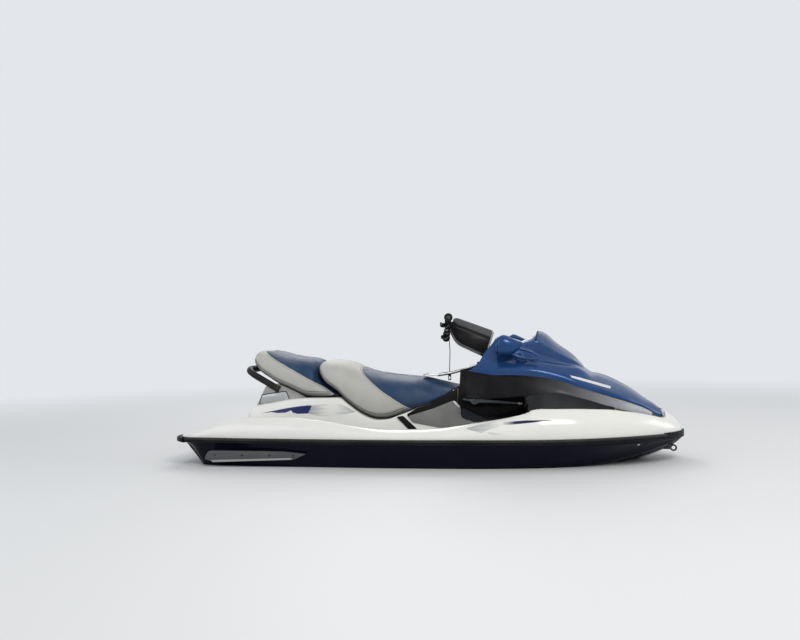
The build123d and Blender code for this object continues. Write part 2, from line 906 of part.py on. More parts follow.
def hood_outer():
    """outer form of the hood"""
    rings = []
    for x, edge, edge_z, shoulder, shoulder_z, top, top_z in hood_lines:
        rings.append(cross_ring(x, [(edge, edge_z), (shoulder, shoulder_z), (top, top_z)]))
    return skinned(rings)


def hood_hollow():
    """space inside the hood's wall, open below"""
    rings = []
    wall = hood_wall
    for x, edge, edge_z, shoulder, shoulder_z, top, top_z in hood_lines:
        half = [
            (edge - wall, edge_z - space_drop),
            (edge - wall, edge_z),
            (shoulder - wall, shoulder_z - wall / 2),
            (max(top - wall / 2, 4), top_z - wall),
        ]
        rings.append(cross_ring(x, half))
    front = hood_lines[-1][0] - hood_nose_wall
    return skinned(rings) & box_between((-beyond, -beyond, -beyond), (front, beyond, beyond))


def hood_space():
    """space left for the hood, with upright walls outside its lower edge so that it lifts out"""
    rows = hood_lines + [(hood_lines[-1][0] + nose_gap,) + hood_lines[-1][1:]]
    rings = []
    for x, edge, edge_z, shoulder, shoulder_z, top, top_z in rows:
        wall = edge + hood_clearance
        rings.append(cross_ring(x, [(wall, edge_z - space_drop), (wall, top_z + space_drop)]))
    return skinned(rings)


def rear_cut_solid():
    """space behind the hood's slanted rear edge"""
    (x0, z0), (x1, z1) = hood_rear_cut
    rear, low = x0 - hood_cut_run[0], z0 - hood_cut_run[1]
    return side_slab([(rear, low), (x0, z0), (x1, z1), (x1, beyond), (rear, beyond)], beyond)


def make_hood():
    shell = hood_outer() - rear_cut_solid() - hood_hollow()
    shell -= box_between((-beyond, -notch_half, notch_floor), (notch_front, notch_half, beyond))
    x, z = hood_hinge
    for side in (1, -1):
        y = side * (hinge_length / 2 + seat_face_gap + hinge_lug / 2)
        room = Box(lug_room[0], hinge_lug + 2 * hood_clearance, lug_room[1])
        shell -= Pos(x, y, z - lug_room_drop) * room
    shell += Pos(x, 0, z) * Rot(90, 0, 0) * Cylinder(hinge_barrel, hinge_length)
    return shell - Pos(x, 0, z) * Rot(90, 0, 0) * Cylinder(hinge_pin + pin_running, 2 * hinge_length)


def make_wind_deflector():
    rings = []
    inner_rings = []
    wall = deflector_wall
    for x, base, base_z, side, side_z, shoulder, shoulder_z, crest in deflector_lines:
        rings.append(cross_ring(x, [(base, base_z), (side, side_z), (shoulder, shoulder_z), (crest_half, crest)]))
        half = [
            (base - wall, base_z - deflector_open),
            (side - wall, side_z - wall),
            (shoulder, shoulder_z - wall),
            (crest_half, crest - wall),
        ]
        inner_rings.append(cross_ring(x, half))
    body = skinned(rings)
    body -= skinned(inner_rings) & box_between((-beyond, -beyond, -beyond), (deflector_hollow_end, beyond, beyond))
    body -= side_slab(deflector_rear_cut, beyond)
    return body - hood_outer()


def mirror_ring(x, half_width, half_height, side):
    """oval of the mirror pod at station x"""
    y, z = side * mirror_centre[0], mirror_centre[1]
    turns = [2 * pi * index / mirror_facets for index in range(mirror_facets)]
    return [(x, y + half_width * cos(turn), z + half_height * sin(turn)) for turn in turns]


def make_mirror(side):
    pod = skinned([mirror_ring(*row, side) for row in mirror_sections])
    middle = side * (mirror_centre[0] - loop_inset)
    fin = side_slab(mirror_loop, loop_thick / 2, middle)
    fin -= side_slab(mirror_hole, loop_thick, middle)
    pod += fin
    return pod - hood_outer()


def make_mirror_glasses():
    glasses = []
    for side in (1, -1):
        x, width, height = mirror_sections[0]
        far = x - seat_face_gap
        rings = [mirror_ring(at, width - glass_inset, height - glass_inset, side) for at in (far - glass_thick, far)]
        glasses.append(skinned(rings))
    return Compound(glasses)


def make_storage_bin(deck):
    (x0, x1) = bin_x
    outer = box_between((x0, -bin_half, bin_floor), (x1, bin_half, bin_top))
    lip = box_between((x0 - bin_lip, -bin_half - bin_lip, bin_lip_z), (x1 + bin_lip, bin_half + bin_lip, bin_top))
    inner = box_between(
        (x0 + bin_wall, -bin_half + bin_wall, bin_floor + bin_wall),
        (x1 - bin_wall, bin_half - bin_wall, beyond),
    )
    return (outer + lip - inner) - deck


def make_instrument_panel(console):
    return side_slab(panel_outline, panel_half) - console


def steering_frame():
    """frame on the steering axis, with z along it"""
    x, y, z = steering_pivot
    rake = radians(steering_rake)
    return Plane(origin=(x, y, z), x_dir=(0, 1, 0), z_dir=(-sin(rake), 0, cos(rake))).location


def turned(shape):
    """turns a piece of the handlebar to its angle at rest"""
    rake = radians(steering_rake)
    axis = Axis(steering_pivot, (-sin(rake), 0, cos(rake)))
    return shape.rotate(axis, steering_rest)


def make_steering_column():
    low, high = column_length
    column = steering_frame() * Pos(0, 0, (low + high) / 2) * Cylinder(column_radius, high - low)
    return turned(column - side_slab(cover_profile, cover_half))


def make_steering_cover():
    cover = side_slab(cover_profile, cover_half)
    cover -= Pos(bar_x, 0, bar_z) * Rot(90, 0, 0) * Cylinder(bar_radius, 4 * cover_half)
    return turned(cover)


def make_steering_pad():
    (x0, z0), (x1, z1) = cover_profile[1], cover_profile[3]
    outline = [(x0 + x, z0 + z) for x, z in pad_front] + [(x1 + x, z1 + z) for x, z in pad_rear]
    return turned(side_slab(outline, cover_half - pad_inset) - side_slab(cover_profile, beyond))


def make_handlebar_tube():
    tube = Pos(bar_x, 0, bar_z) * Rot(90, 0, 0) * Cylinder(bar_radius, 2 * bar_half)
    return turned(tube)


def make_grip(side):
    middle = side * (bar_half - grip_length / 2)
    grip = Pos(bar_x, middle, bar_z) * Rot(90, 0, 0) * Cylinder(grip_radius, grip_length)
    middle = side * (bar_half - flange_thick / 2)
    end = Pos(bar_x, middle, bar_z) * Rot(90, 0, 0) * Cylinder(flange_radius, flange_thick)
    return grip + end


def make_handlebar_grips():
    bore = Pos(bar_x, 0, bar_z) * Rot(90, 0, 0) * Cylinder(bar_radius, 3 * bar_half)
    grips = [turned(make_grip(side) - bore) for side in (1, -1)]
    return Compound(grips)


def make_throttle_lever():
    y = -(bar_half - grip_length - throttle_gap)
    clamp = Pos(bar_x, y, bar_z) * Rot(90, 0, 0) * Cylinder(bar_radius + throttle_wall, throttle_clamp)
    clamp += box_at((bar_x, y, bar_z), throttle_body)
    (rear, front), (low, high) = throttle_reach, throttle_z
    lever = box_at((bar_x, y, bar_z), ((rear, -lever_length, low), (front, throttle_body[1][1], high)))
    bore = Pos(bar_x, 0, bar_z) * Rot(90, 0, 0) * Cylinder(bar_radius, 3 * bar_half)
    return turned(clamp + lever - bore)


def make_switch_housing():
    y = bar_half - grip_length - switch_gap
    body = Pos(bar_x, y, bar_z) * Rot(90, 0, 0) * Cylinder(bar_radius + switch_wall, switch_length)
    body += box_at((bar_x, y, bar_z), switch_body)
    bore = Pos(bar_x, 0, bar_z) * Rot(90, 0, 0) * Cylinder(bar_radius, 3 * bar_half)
    start = Vector(*cord_route[0])
    back = (start - Vector(*cord_route[1])).normalized() * post_length
    plane = Plane(origin=start, z_dir=back)
    post = plane * Pos(0, 0, post_length / 2) * Cylinder(post_radius, post_length)
    return turned(body - bore) + post - turned(bore) - turned(make_grip(1))


def corner_radii(points, largest):
    """radius of each inner corner of a route: 0.45 of the shorter run over the half turn's tangent"""
    radii = []
    for before, point, after in zip(points, points[1:], points[2:]):
        back = Vector(*point) - Vector(*before)
        ahead = Vector(*after) - Vector(*point)
        half = radians(back.get_angle(ahead)) / 2
        radii.append(min(0.45 * min(back.length, ahead.length) / tan(half), largest))
    return radii


def make_lanyard_cord():
    radii = corner_radii(cord_route, bend_limit)
    print("lanyard cord radii", [round(r) for r in radii])
    path = FilletPolyline(*cord_route, radius=radii)
    start = Vector(*cord_route[0])
    plane = Plane(origin=start, z_dir=Vector(*cord_route[1]) - start)
    tube = sweep(plane * Circle(cord_radius), path=path)
    print("lanyard cord length", round(path.length), "volume ratio",
          round(tube.volume / (pi * cord_radius ** 2 * path.length), 3))
    return tube


def make_lanyard_clip():
    half, deep, high = clip_size
    hole_half, hole_top, hole_low = clip_hole
    clip = box_at(cord_route[-1], ((-half, -deep, -high), (half, deep, -seat_face_gap)))
    return clip - box_at(cord_route[-1], ((-hole_half, -deep - 1, -hole_low), (hole_half, deep + 1, -hole_top)))


def make_shift_lever(console):
    x, z = lever_hub
    y = -console_sections[1][1]
    hub = Pos(x, y + hub_shift, z) * Rot(90, 0, 0) * Cylinder(*hub_size)
    arm = side_slab([(x + u, z + v) for u, v in lever_arm], lever_half, y - lever_inset)
    return biggest(hub + arm - console)


def make_deck_mats():
    mats = []
    low = floor_z + seat_face_gap
    for side in (1, -1):
        middle = side * (well_inner + well_outer) / 2
        length = well_front - well_rear - mat_margin[0]
        width = well_outer - well_inner - mat_margin[1]
        mat = RectangleRounded(length, width, mat_corner)
        mats.append(slab_plan(Pos((well_front + well_rear) / 2 + mat_shift, middle) * mat, low, low + mat_thick))
    x, length, margin = platform_mat
    platform = RectangleRounded(length, 2 * platform_half - margin, platform_corner)
    mats.append(slab_plan(Pos(x, 0) * platform, low, low + mat_thick))
    return Compound(mats)


def tow_eye(x, y, z, reach):
    """plate with a bore, and a stem that reaches back to the hull"""
    eye = Pos(x, y, z) * Rot(90, 0, 0) * extrude(RegularPolygon(eye_outer, eye_facets), eye_thick / 2, both=True)
    low, high = sorted((x, x + reach))
    eye += box_between((low, y - eye_thick / 2, z - eye_stem / 2), (high, y + eye_thick / 2, z + eye_stem / 2))
    return eye - Pos(x, y, z) * Rot(90, 0, 0) * Cylinder(eye_bore, 2 * eye_thick)


def make_tow_eyes(hull):
    x, (y, z) = hull_lines[0][0] - eye_outer - stern_eye_gap, stern_eye
    eyes = [tow_eye(x, side * y, z, stern_eye_reach) for side in (1, -1)]
    eyes.append(tow_eye(*bow_eye, bow_eye_reach))
    return Compound([eye - hull for eye in eyes])


def save(shape, name):
    solids = shape.solids()
    shape = solids[0] if len(solids) == 1 else Compound(solids)
    shape.label = name
    export_step(shape, "parts/" + name + ".step")


os.makedirs("parts", exist_ok=True)
lower_hull = make_lower_hull()
upper_deck = make_upper_deck()
rear_support = make_rear_support()
rear_seat = make_rear_seat()
console = make_console(upper_deck)
save(lower_hull, "lower_hull")
save(upper_deck, "upper_deck")
save(make_rub_rail(), "rub_rail")
save(bumper(bow_zone(), *bow_bumper_size), "bow_bumper")
save(bumper(stern_zone(), *stern_bumper_size), "stern_bumper")
save(make_ride_plate(), "ride_plate")
save(make_intake_grate(), "intake_grate")
save(make_jet_pump_housing(), "jet_pump_housing")
save(make_impeller(), "impeller")
save(make_drive_shaft(), "drive_shaft")
save(make_steering_nozzle(), "steering_nozzle")
save(make_reverse_bucket(), "reverse_bucket")
save(make_engine_block(lower_hull), "engine_block")
save(rear_support, "rear_support")
save(make_grab_handle(rear_support, rear_seat), "grab_handle")
save(rear_seat, "rear_seat")
save(make_front_seat(), "front_seat")
save(console, "console")
save(make_glove_box(), "glove_box")
save(make_glove_box_lid(), "glove_box_lid")
save(make_hood(), "hood")
save(make_wind_deflector(), "wind_deflector")
save(make_mirror_glasses(), "mirror_glasses")
save(make_storage_bin(upper_deck), "storage_bin")
save(make_instrument_panel(console), "instrument_panel")
save(make_steering_column(), "steering_column")
save(make_steering_cover(), "steering_cover")
save(make_steering_pad(), "steering_pad")
save(make_handlebar_tube(), "handlebar_tube")
save(make_handlebar_grips(), "handlebar_grips")
save(make_throttle_lever(), "throttle_lever")
save(make_switch_housing(), "switch_housing")
save(make_lanyard_cord(), "lanyard_cord")
save(make_lanyard_clip(), "lanyard_clip")
save(make_shift_lever(console), "shift_lever")
save(make_deck_mats(), "deck_mats")
save(make_tow_eyes(lower_hull), "tow_eyes")
trims = []
base_panels = []
for side_name, side in (("left", 1), ("right", -1)):
    save(make_sponson(side, lower_hull), "sponson_" + side_name)
    panel = biggest(panel_solid(side_panel_lines, side, panel_wall) - upper_deck - hood_space())
    save(panel, "side_panel_" + side_name)
    trims.append(biggest(panel_solid(trim_lines, side, panel_wall) - upper_deck - panel))
    base_panels.append(make_seat_base_panel(side, upper_deck))
    save(make_mirror(side), "mirror_" + side_name)
save(Compound(trims), "front_trims")
save(Compound(base_panels), "seat_base_panels")
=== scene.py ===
import json
from math import cos, pi, radians, sin, sqrt

import bmesh
import bpy
import numpy as np
from mathutils import Matrix, Vector
from mathutils.bvhtree import BVHTree
from mathutils.kdtree import KDTree

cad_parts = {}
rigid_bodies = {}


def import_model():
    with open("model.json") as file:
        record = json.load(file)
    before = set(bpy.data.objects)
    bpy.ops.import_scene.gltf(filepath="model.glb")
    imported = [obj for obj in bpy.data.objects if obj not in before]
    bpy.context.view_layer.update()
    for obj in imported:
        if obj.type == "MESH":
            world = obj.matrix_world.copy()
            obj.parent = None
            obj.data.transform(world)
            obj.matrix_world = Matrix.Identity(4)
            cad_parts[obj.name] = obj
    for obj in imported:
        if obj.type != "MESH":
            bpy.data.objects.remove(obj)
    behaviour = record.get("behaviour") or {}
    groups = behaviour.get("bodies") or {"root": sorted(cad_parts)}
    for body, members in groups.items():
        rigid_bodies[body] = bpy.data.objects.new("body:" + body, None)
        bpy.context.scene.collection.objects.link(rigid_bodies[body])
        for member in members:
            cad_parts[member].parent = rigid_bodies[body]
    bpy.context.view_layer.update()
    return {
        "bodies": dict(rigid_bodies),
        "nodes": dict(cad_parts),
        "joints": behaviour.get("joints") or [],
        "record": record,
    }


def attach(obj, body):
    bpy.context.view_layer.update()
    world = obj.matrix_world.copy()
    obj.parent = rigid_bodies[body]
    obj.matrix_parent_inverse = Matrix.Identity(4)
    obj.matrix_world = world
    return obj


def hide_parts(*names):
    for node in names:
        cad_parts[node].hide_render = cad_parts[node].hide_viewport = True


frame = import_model()
print("frame loaded")


def mm(*rows):
    # rows written in millimetres, or thousandths of a share, as metres and shares
    return tuple(tuple(v / 1000 for v in row) for row in rows)


def rowsAt(rows, stations):
    # smooth lengthwise lines through the rows, which never overshoot them
    rows = np.array(rows, float)
    x, values = rows[:, 0], rows[:, 1:]
    slope = np.diff(values, axis=0) / np.diff(x)[:, None]
    tangent = np.zeros_like(values)
    product = slope[:-1] * slope[1:]
    total = np.where(np.abs(slope[:-1] + slope[1:]) < 1e-12, 1, slope[:-1] + slope[1:])
    tangent[1:-1] = np.where(product > 0, 2 * product / total, 0)
    tangent[0], tangent[-1] = slope[0], slope[-1]
    found = []
    for s in stations:
        i = int(np.clip(np.searchsorted(x, s) - 1, 0, len(x) - 2))
        h = x[i + 1] - x[i]
        t = (s - x[i]) / h
        found.append((1 + 2 * t) * (1 - t) ** 2 * values[i] + t * (1 - t) ** 2 * h * tangent[i]
                     + t * t * (3 - 2 * t) * values[i + 1] + t * t * (t - 1) * h * tangent[i + 1])
    return np.array(found)


def softCorners(points, radii, steps=5):
    # each inner corner becomes a short curve of a fixed number of points
    points = [Vector(p) for p in points]
    out = [points[0]]
    for before, point, after, radius in zip(points, points[1:], points[2:], radii):
        back, ahead = before - point, after - point
        start = point + back.normalized() * min(radius, 0.48 * back.length)
        end = point + ahead.normalized() * min(radius, 0.48 * ahead.length)
        for k in range(steps):
            t = k / (steps - 1)
            out.append((1 - t) ** 2 * start + 2 * t * (1 - t) * point + t * t * end)
    return out + [points[-1]]


def bothSides(half):
    # a port half section, outboard to centre, made into the whole section
    return half + [Vector((p[0], -p[1], p[2])) for p in reversed(half[:-1])]


def skin(name, rings, closed=False, capStart=True, capEnd=True):
    # mesh through rings of equal point counts
    verts = [tuple(p) for ring in rings for p in ring]
    count = len(rings[0])
    faces = []
    span = count if closed else count - 1
    for i in range(len(rings) - 1):
        for j in range(span):
            k = (j + 1) % count
            faces.append((i * count + j, i * count + k, (i + 1) * count + k, (i + 1) * count + j))
    if capStart:
        faces.append(tuple(range(count - 1, -1, -1)))
    if capEnd:
        faces.append(tuple((len(rings) - 1) * count + j for j in range(count)))
    return solidFrom(name, verts, faces)


def newObject(name, data):
    piece = bpy.data.objects.new(name, data)
    bpy.context.scene.collection.objects.link(piece)
    return piece


def solidFrom(name, verts, faces, angle=38):
    mesh = bpy.data.meshes.new(name)
    mesh.from_pydata([tuple(v) for v in verts], [], faces)
    mesh.validate()
    piece = newObject(name, mesh)
    tidyMesh(piece, angle)
    return piece


def tidyMesh(piece, angle=38):
    work = bmesh.new()
    work.from_mesh(piece.data)
    bmesh.ops.remove_doubles(work, verts=work.verts, dist=0.00002)
    bmesh.ops.dissolve_degenerate(work, edges=work.edges, dist=0.00001)
    bmesh.ops.recalc_face_normals(work, faces=work.faces)
    work.to_mesh(piece.data)
    work.free()
    piece.data.polygons.foreach_set("use_smooth", [True] * len(piece.data.polygons))
    piece.data.set_sharp_from_angle(angle=radians(angle))


def joinPieces(name, pieces):
    work = bmesh.new()
    for piece in pieces:
        piece.data.transform(piece.matrix_world)
        work.from_mesh(piece.data)
    mesh = bpy.data.meshes.new(name)
    work.to_mesh(mesh)
    work.free()
    for piece in pieces:
        bpy.data.objects.remove(piece)
    return newObject(name, mesh)


def applyModifiers(piece):
    bpy.context.view_layer.update()
    depsgraph = bpy.context.evaluated_depsgraph_get()
    made = bpy.data.meshes.new_from_object(piece.evaluated_get(depsgraph))
    piece.modifiers.clear()
    piece.data = made
    return piece


def treeOf(piece):
    return BVHTree.FromObject(piece, bpy.context.evaluated_depsgraph_get())


def closeHoles(piece):
    work = bmesh.new()
    work.from_mesh(piece.data)
    bmesh.ops.holes_fill(work, edges=[e for e in work.edges if e.is_boundary], sides=0)
    bmesh.ops.recalc_face_normals(work, faces=work.faces)
    work.to_mesh(piece.data)
    work.free()


def cutAway(piece, cutter, mode="DIFFERENCE"):
    change = piece.modifiers.new("cut", "BOOLEAN")
    change.operation = mode
    change.solver = "EXACT"
    change.object = cutter
    applyModifiers(piece)
    bpy.data.objects.remove(cutter)
    tidyMesh(piece)
    return piece


def roundEdges(piece, width=0.002, segments=3, angle=35):
    bevel = piece.modifiers.new("round", "BEVEL")
    bevel.width = width
    bevel.segments = segments
    bevel.limit_method = "ANGLE"
    bevel.angle_limit = radians(angle)
    bevel.harden_normals = False
    applyModifiers(piece)
    tidyMesh(piece, 50)
    return piece


def block(name, low, high):
    verts = [(x, y, z) for x in (low[0], high[0]) for y in (low[1], high[1]) for z in (low[2], high[2])]
    faces = [(0, 1, 3, 2), (4, 6, 7, 5), (0, 4, 5, 1), (2, 3, 7, 6), (0, 2, 6, 4), (1, 5, 7, 3)]
    return solidFrom(name, verts, faces)


def prismFaces(n):
    # two outlines of n points, and the sides between them
    faces = [tuple(range(n)), tuple(range(2 * n - 1, n - 1, -1))]
    return faces + [(i, (i + 1) % n, n + (i + 1) % n, n + i) for i in range(n)]


def slab(name, outline, centre, half):
    # closed side outline of (x, z) points, given a thickness across the boat
    verts = [(x, centre + s * half, z) for s in (-1, 1) for x, z in outline]
    return solidFrom(name, verts, prismFaces(len(outline)))


def ringAt(centre, along, radiusA, radiusB, count=24, up=(0, 0, 1), power=2.0):
    # one ring of a tube, round at power 2 and squarer above it
    along = Vector(along).normalized()
    side = along.cross(Vector(up)).normalized()
    top = side.cross(along).normalized()
    points = []
    for k in range(count):
        a = 2 * pi * k / count
        c, s = cos(a), sin(a)
        c = abs(c) ** (2 / power) * (1 if c >= 0 else -1)
        s = abs(s) ** (2 / power) * (1 if s >= 0 else -1)
        points.append(Vector(centre) + side * (radiusA * c) + top * (radiusB * s))
    return points


def tube(name, path, radiusA, radiusB=None, count=20, up=(0, 0, 1), power=2.0, closed=False):
    # tube along a list of points; the radii are numbers or one for each point
    path = [Vector(p) for p in path]
    n = len(path)
    radiusA = radiusA if hasattr(radiusA, "__len__") else [radiusA] * n
    radiusB = radiusA if radiusB is None else radiusB if hasattr(radiusB, "__len__") else [radiusB] * n
    rings = []
    for i, p in enumerate(path):
        before = path[i - 1] if i or closed else p
        after = path[(i + 1) % n] if i < n - 1 or closed else p
        rings.append(ringAt(p, after - before, radiusA[i], radiusB[i], count, up, power))
    if closed:
        rings.append(rings[0])
    return skin(name, rings, closed=True, capStart=not closed, capEnd=not closed)


def smoothPath(points, step=0.01):
    # points along a smooth line through the given ones
    points = [Vector(p) for p in points]
    ends = [points[0] * 2 - points[1]] + points + [points[-1] * 2 - points[-2]]
    out = []
    for i in range(1, len(ends) - 2):
        a, b, c, d = ends[i - 1:i + 3]
        count = max(2, int((c - b).length / step))
        for k in range(count):
            t = k / count
            out.append(0.5 * (2 * b + (c - a) * t + (2 * a - 5 * b + 4 * c - d) * t * t
                              + (3 * b - a - 3 * c + d) * t ** 3))
    return out + [points[-1]]


def seamPoints(piece, values):
    # the line on a mesh where the values of its vertices change sign, as ordered loops
    work = bmesh.new()
    work.from_mesh(piece.data)
    work.verts.ensure_lookup_table()
    hits, links = {}, {}
    for edge in work.edges:
        a, b = edge.verts
        va, vb = values[a.index], values[b.index]
        if (va > 0) != (vb > 0):
            hits[edge.index] = a.co.lerp(b.co, va / (va - vb))
    for face in work.faces:
        crossed = [e.index for e in face.edges if e.index in hits]
        if len(crossed) == 2:
            links.setdefault(crossed[0], []).append(crossed[1])
            links.setdefault(crossed[1], []).append(crossed[0])
    work.free()
    chains, seen = [], set()
    starts = [k for k in links if len(links[k]) == 1] + list(links)
    for start in starts:
        if start in seen:
            continue
        chain, here = [start], start
        seen.add(start)
        while True:
            ahead = [k for k in links[here] if k not in seen]
            if not ahead:
                break
            here = ahead[0]
            seen.add(here)
            chain.append(here)
        chains.append([hits[k] for k in chain])
    return sorted(chains, key=len, reverse=True)


def evenPath(points, step):
    # the same line, with points a step apart
    out, left = [points[0].copy()], step
    for a, b in zip(points, points[1:]):
        length = (b - a).length
        while length >= left and length > 0:
            a = a.lerp(b, left / length)
            out.append(a.copy())
            length = (b - a).length
            left = step
        left -= length
    return out


def sideOf(points, x, z):
    # signed distance of (x, z) from a side view line: positive on its left
    best, sign = 1e9, 1
    for (ax, az), (bx, bz) in zip(points, points[1:]):
        dx, dz = bx - ax, bz - az
        t = min(1, max(0, ((x - ax) * dx + (z - az) * dz) / (dx * dx + dz * dz)))
        px, pz = x - ax - t * dx, z - az - t * dz
        distance = sqrt(px * px + pz * pz)
        if distance < best:
            best, sign = distance, 1 if dx * (z - az) - dz * (x - ax) > 0 else -1
    return sign * best


def addNode(tree, kind, inputs=None, **settings):
    node = tree.nodes.new(kind)
    for key, value in settings.items():
        setattr(node, key, value)
    for key, value in (inputs or {}).items():
        socket = node.inputs[key]
        if isinstance(value, bpy.types.NodeSocket):
            tree.links.new(value, socket)
        else:
            socket.default_value = value
    return node


def mathNode(tree, operation, a, b=0.0, clamp=False):
    node = addNode(tree, "ShaderNodeMath", {0: a, 1: b}, operation=operation, use_clamp=clamp)
    return node.outputs[0]


def rangeNode(tree, value, low, high, toLow=0.0, toHigh=1.0):
    node = addNode(tree, "ShaderNodeMapRange", {"Value": value, "From Min": low, "From Max": high,
                                                "To Min": toLow, "To Max": toHigh}, clamp=True)
    return node.outputs["Result"]


def mixColour(tree, factor, a, b, blend="MIX"):
    node = addNode(tree, "ShaderNodeMix", {0: factor}, data_type="RGBA", blend_type=blend)
    for index, value in ((6, a), (7, b)):
        if isinstance(value, bpy.types.NodeSocket):
            tree.links.new(value, node.inputs[index])
        else:
            node.inputs[index].default_value = (*value, 1)
    return node.outputs[2]


def mixShader(tree, share, first, second, output):
    choice = addNode(tree, "ShaderNodeMixShader", {0: share, 1: first.outputs[0], 2: second.outputs[0]})
    tree.links.new(choice.outputs[0], tree.nodes[output].inputs["Surface"])


def noiseNode(tree, vector, scale, detail=2.0, rough=0.5):
    return addNode(tree, "ShaderNodeTexNoise", {"Vector": vector, "Scale": scale, "Detail": detail,
                                                "Roughness": rough}).outputs


view = dict(place=(0.9876, -5.3326, 0.78), turn=12.5, tiltUp=0.944, roll=-1.2, lens=38.25)


def aimCamera():
    camera = newObject("camera", bpy.data.cameras.new("camera"))
    camera.data.lens = view["lens"]
    camera.data.sensor_width = 36
    camera.location = view["place"]
    turn = Matrix.Rotation(radians(view["turn"]), 4, "Z") @ Matrix.Rotation(radians(90 + view["tiltUp"]), 4, "X")
    turn = turn @ Matrix.Rotation(radians(view["roll"]), 4, "Z")
    camera.rotation_euler = turn.to_euler()
    bpy.context.scene.camera = camera


stageLook = dict(floor=(0.78, 0.79, 0.8), floorRough=0.6, floorHalf=40, world=(0.93, 0.96, 1.0),
                 worldStrength=0.42, backdrop=(0.77, 0.79, 0.82),
                 fadeFrom=1.9, fadeTo=9.0)
lamps = (
    # name, place, aimed at, size, watts, colour
    ("key", (2.6, -4.2, 4.6), (0.1, 0, 0.3), 2.2, 165, (1.0, 0.97, 0.92)),
    ("fill", (-4.0, -3.4, 2.6), (0, 0, 0.2), 3.5, 50, (0.92, 0.96, 1.0)),
    ("back", (-1.5, 4.6, 4.2), (0, 0, 0.3), 3.0, 105, (1.0, 0.98, 0.95)),
    ("bow", (5.2, 1.2, 2.4), (0.6, 0, 0.3), 2.4, 40, (1.0, 1.0, 1.0)),
)


def lightStage():
    scene = bpy.context.scene
    scene.view_settings.view_transform = "Standard"
    scene.world = bpy.data.worlds.new("studio")
    scene.world.use_nodes = True
    tree = scene.world.node_tree
    sky = tree.nodes["Background"]
    sky.inputs["Color"].default_value = (*stageLook["world"], 1)
    sky.inputs["Strength"].default_value = stageLook["worldStrength"]
    wall = addNode(tree, "ShaderNodeBackground", {"Color": (*stageLook["backdrop"], 1)})
    rays = tree.nodes.new("ShaderNodeLightPath").outputs
    seen = rays["Is Camera Ray"]   # the camera, metal and glass see the backdrop
    for label in ("Is Glossy Ray", "Is Transmission Ray"):
        seen = mathNode(tree, "MAXIMUM", seen, rays[label])
    mixShader(tree, seen, sky, wall, "World Output")
    for name, place, target, size, watts, colour in lamps:
        lamp = bpy.data.lights.new(name, "AREA")
        lamp.size, lamp.energy, lamp.color = size, watts, colour
        holder = newObject(name, lamp)
        holder.location = place
        holder.rotation_euler = (Vector(target) - Vector(place)).to_track_quat("-Z", "Y").to_euler()
    reach = stageLook["floorHalf"]
    corners = [(-reach, -reach, 0), (reach, -reach, 0), (reach, reach, 0), (-reach, reach, 0)]
    floor = solidFrom("floor", corners, [(0, 1, 2, 3)])
    floor.data.materials.append(floorMatter())


def floorMatter():
    # pale floor that runs into the backdrop far from the boat
    matter = bpy.data.materials.new("floorPaint")
    matter.use_nodes = True
    tree = matter.node_tree
    paint = tree.nodes["Principled BSDF"]
    paint.inputs["Base Color"].default_value = (*stageLook["floor"], 1)
    paint.inputs["Roughness"].default_value = stageLook["floorRough"]
    place = tree.nodes.new("ShaderNodeTexCoord").outputs["Object"]
    far = addNode(tree, "ShaderNodeVectorMath", {0: place}, operation="LENGTH").outputs["Value"]
    fade = addNode(tree, "ShaderNodeMapRange", {"Value": far, "From Min": stageLook["fadeFrom"],
                                                "From Max": stageLook["fadeTo"]}, interpolation_type="SMOOTHSTEP")
    rays = tree.nodes.new("ShaderNodeLightPath")
    share = mathNode(tree, "MULTIPLY", fade.outputs["Result"], rays.outputs["Is Camera Ray"])
    glow = addNode(tree, "ShaderNodeEmission", {"Color": (*stageLook["backdrop"], 1)})
    mixShader(tree, share, paint, glow, "Material Output")
    return matter


aimCamera()
lightStage()
print("camera and light set")


# lanyard cord, on the same route as its solid
lanyard = dict(
    route=mm((86, 209, 745), (91, 221, 688), (87, 228, 606), (84, 229, 560), (83, 230, 520)),
    diameter=0.0052, length=0.227,
)


def hangCord():
    line = bpy.data.curves.new("lanyardCord", "CURVE")
    line.dimensions = "3D"
    spline = line.splines.new("NURBS")
    spline.points.add(len(lanyard["route"]) - 1)
    for point, place in zip(spline.points, lanyard["route"]):
        point.co = (*place, 1)
        point.radius = lanyard["diameter"] / 2
    spline.order_u = 3
    spline.use_endpoint_u = True
    spline.resolution_u = 12
    # the points carry the radius, which keeps the curve's box tight
    line.bevel_depth = 1.0
    line.bevel_resolution = 6
    line.use_fill_caps = True
    cord = newObject("lanyardCord", line)
    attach(cord, "handlebar")
    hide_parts("lanyard_cord")
    return cord


cord = hangCord()
print("cord hung")


def newGroup(name, outputs, **inputs):
    # shader node group that takes a Vector and plain numbers
    group = bpy.data.node_groups.new(name, "ShaderNodeTree")
    group.interface.new_socket("Vector", in_out="INPUT", socket_type="NodeSocketVector")
    for label, value in inputs.items():
        group.interface.new_socket(label, in_out="INPUT", socket_type="NodeSocketFloat").default_value = value
    for label in outputs:
        group.interface.new_socket(label, in_out="OUTPUT", socket_type="NodeSocketFloat")
    return group, group.nodes.new("NodeGroupInput").outputs, group.nodes.new("NodeGroupOutput").inputs


def makeGrain():
    # fine moulded grain with a slow change of tone
    group, given, out = newGroup("mouldedGrain", ("Height", "Tone"), Size=900.0)
    group.links.new(noiseNode(group, given["Vector"], given["Size"], 3.0, 0.6)["Fac"], out["Height"])
    group.links.new(noiseNode(group, given["Vector"], 9.0, 4.0, 0.55)["Fac"], out["Tone"])
    return group


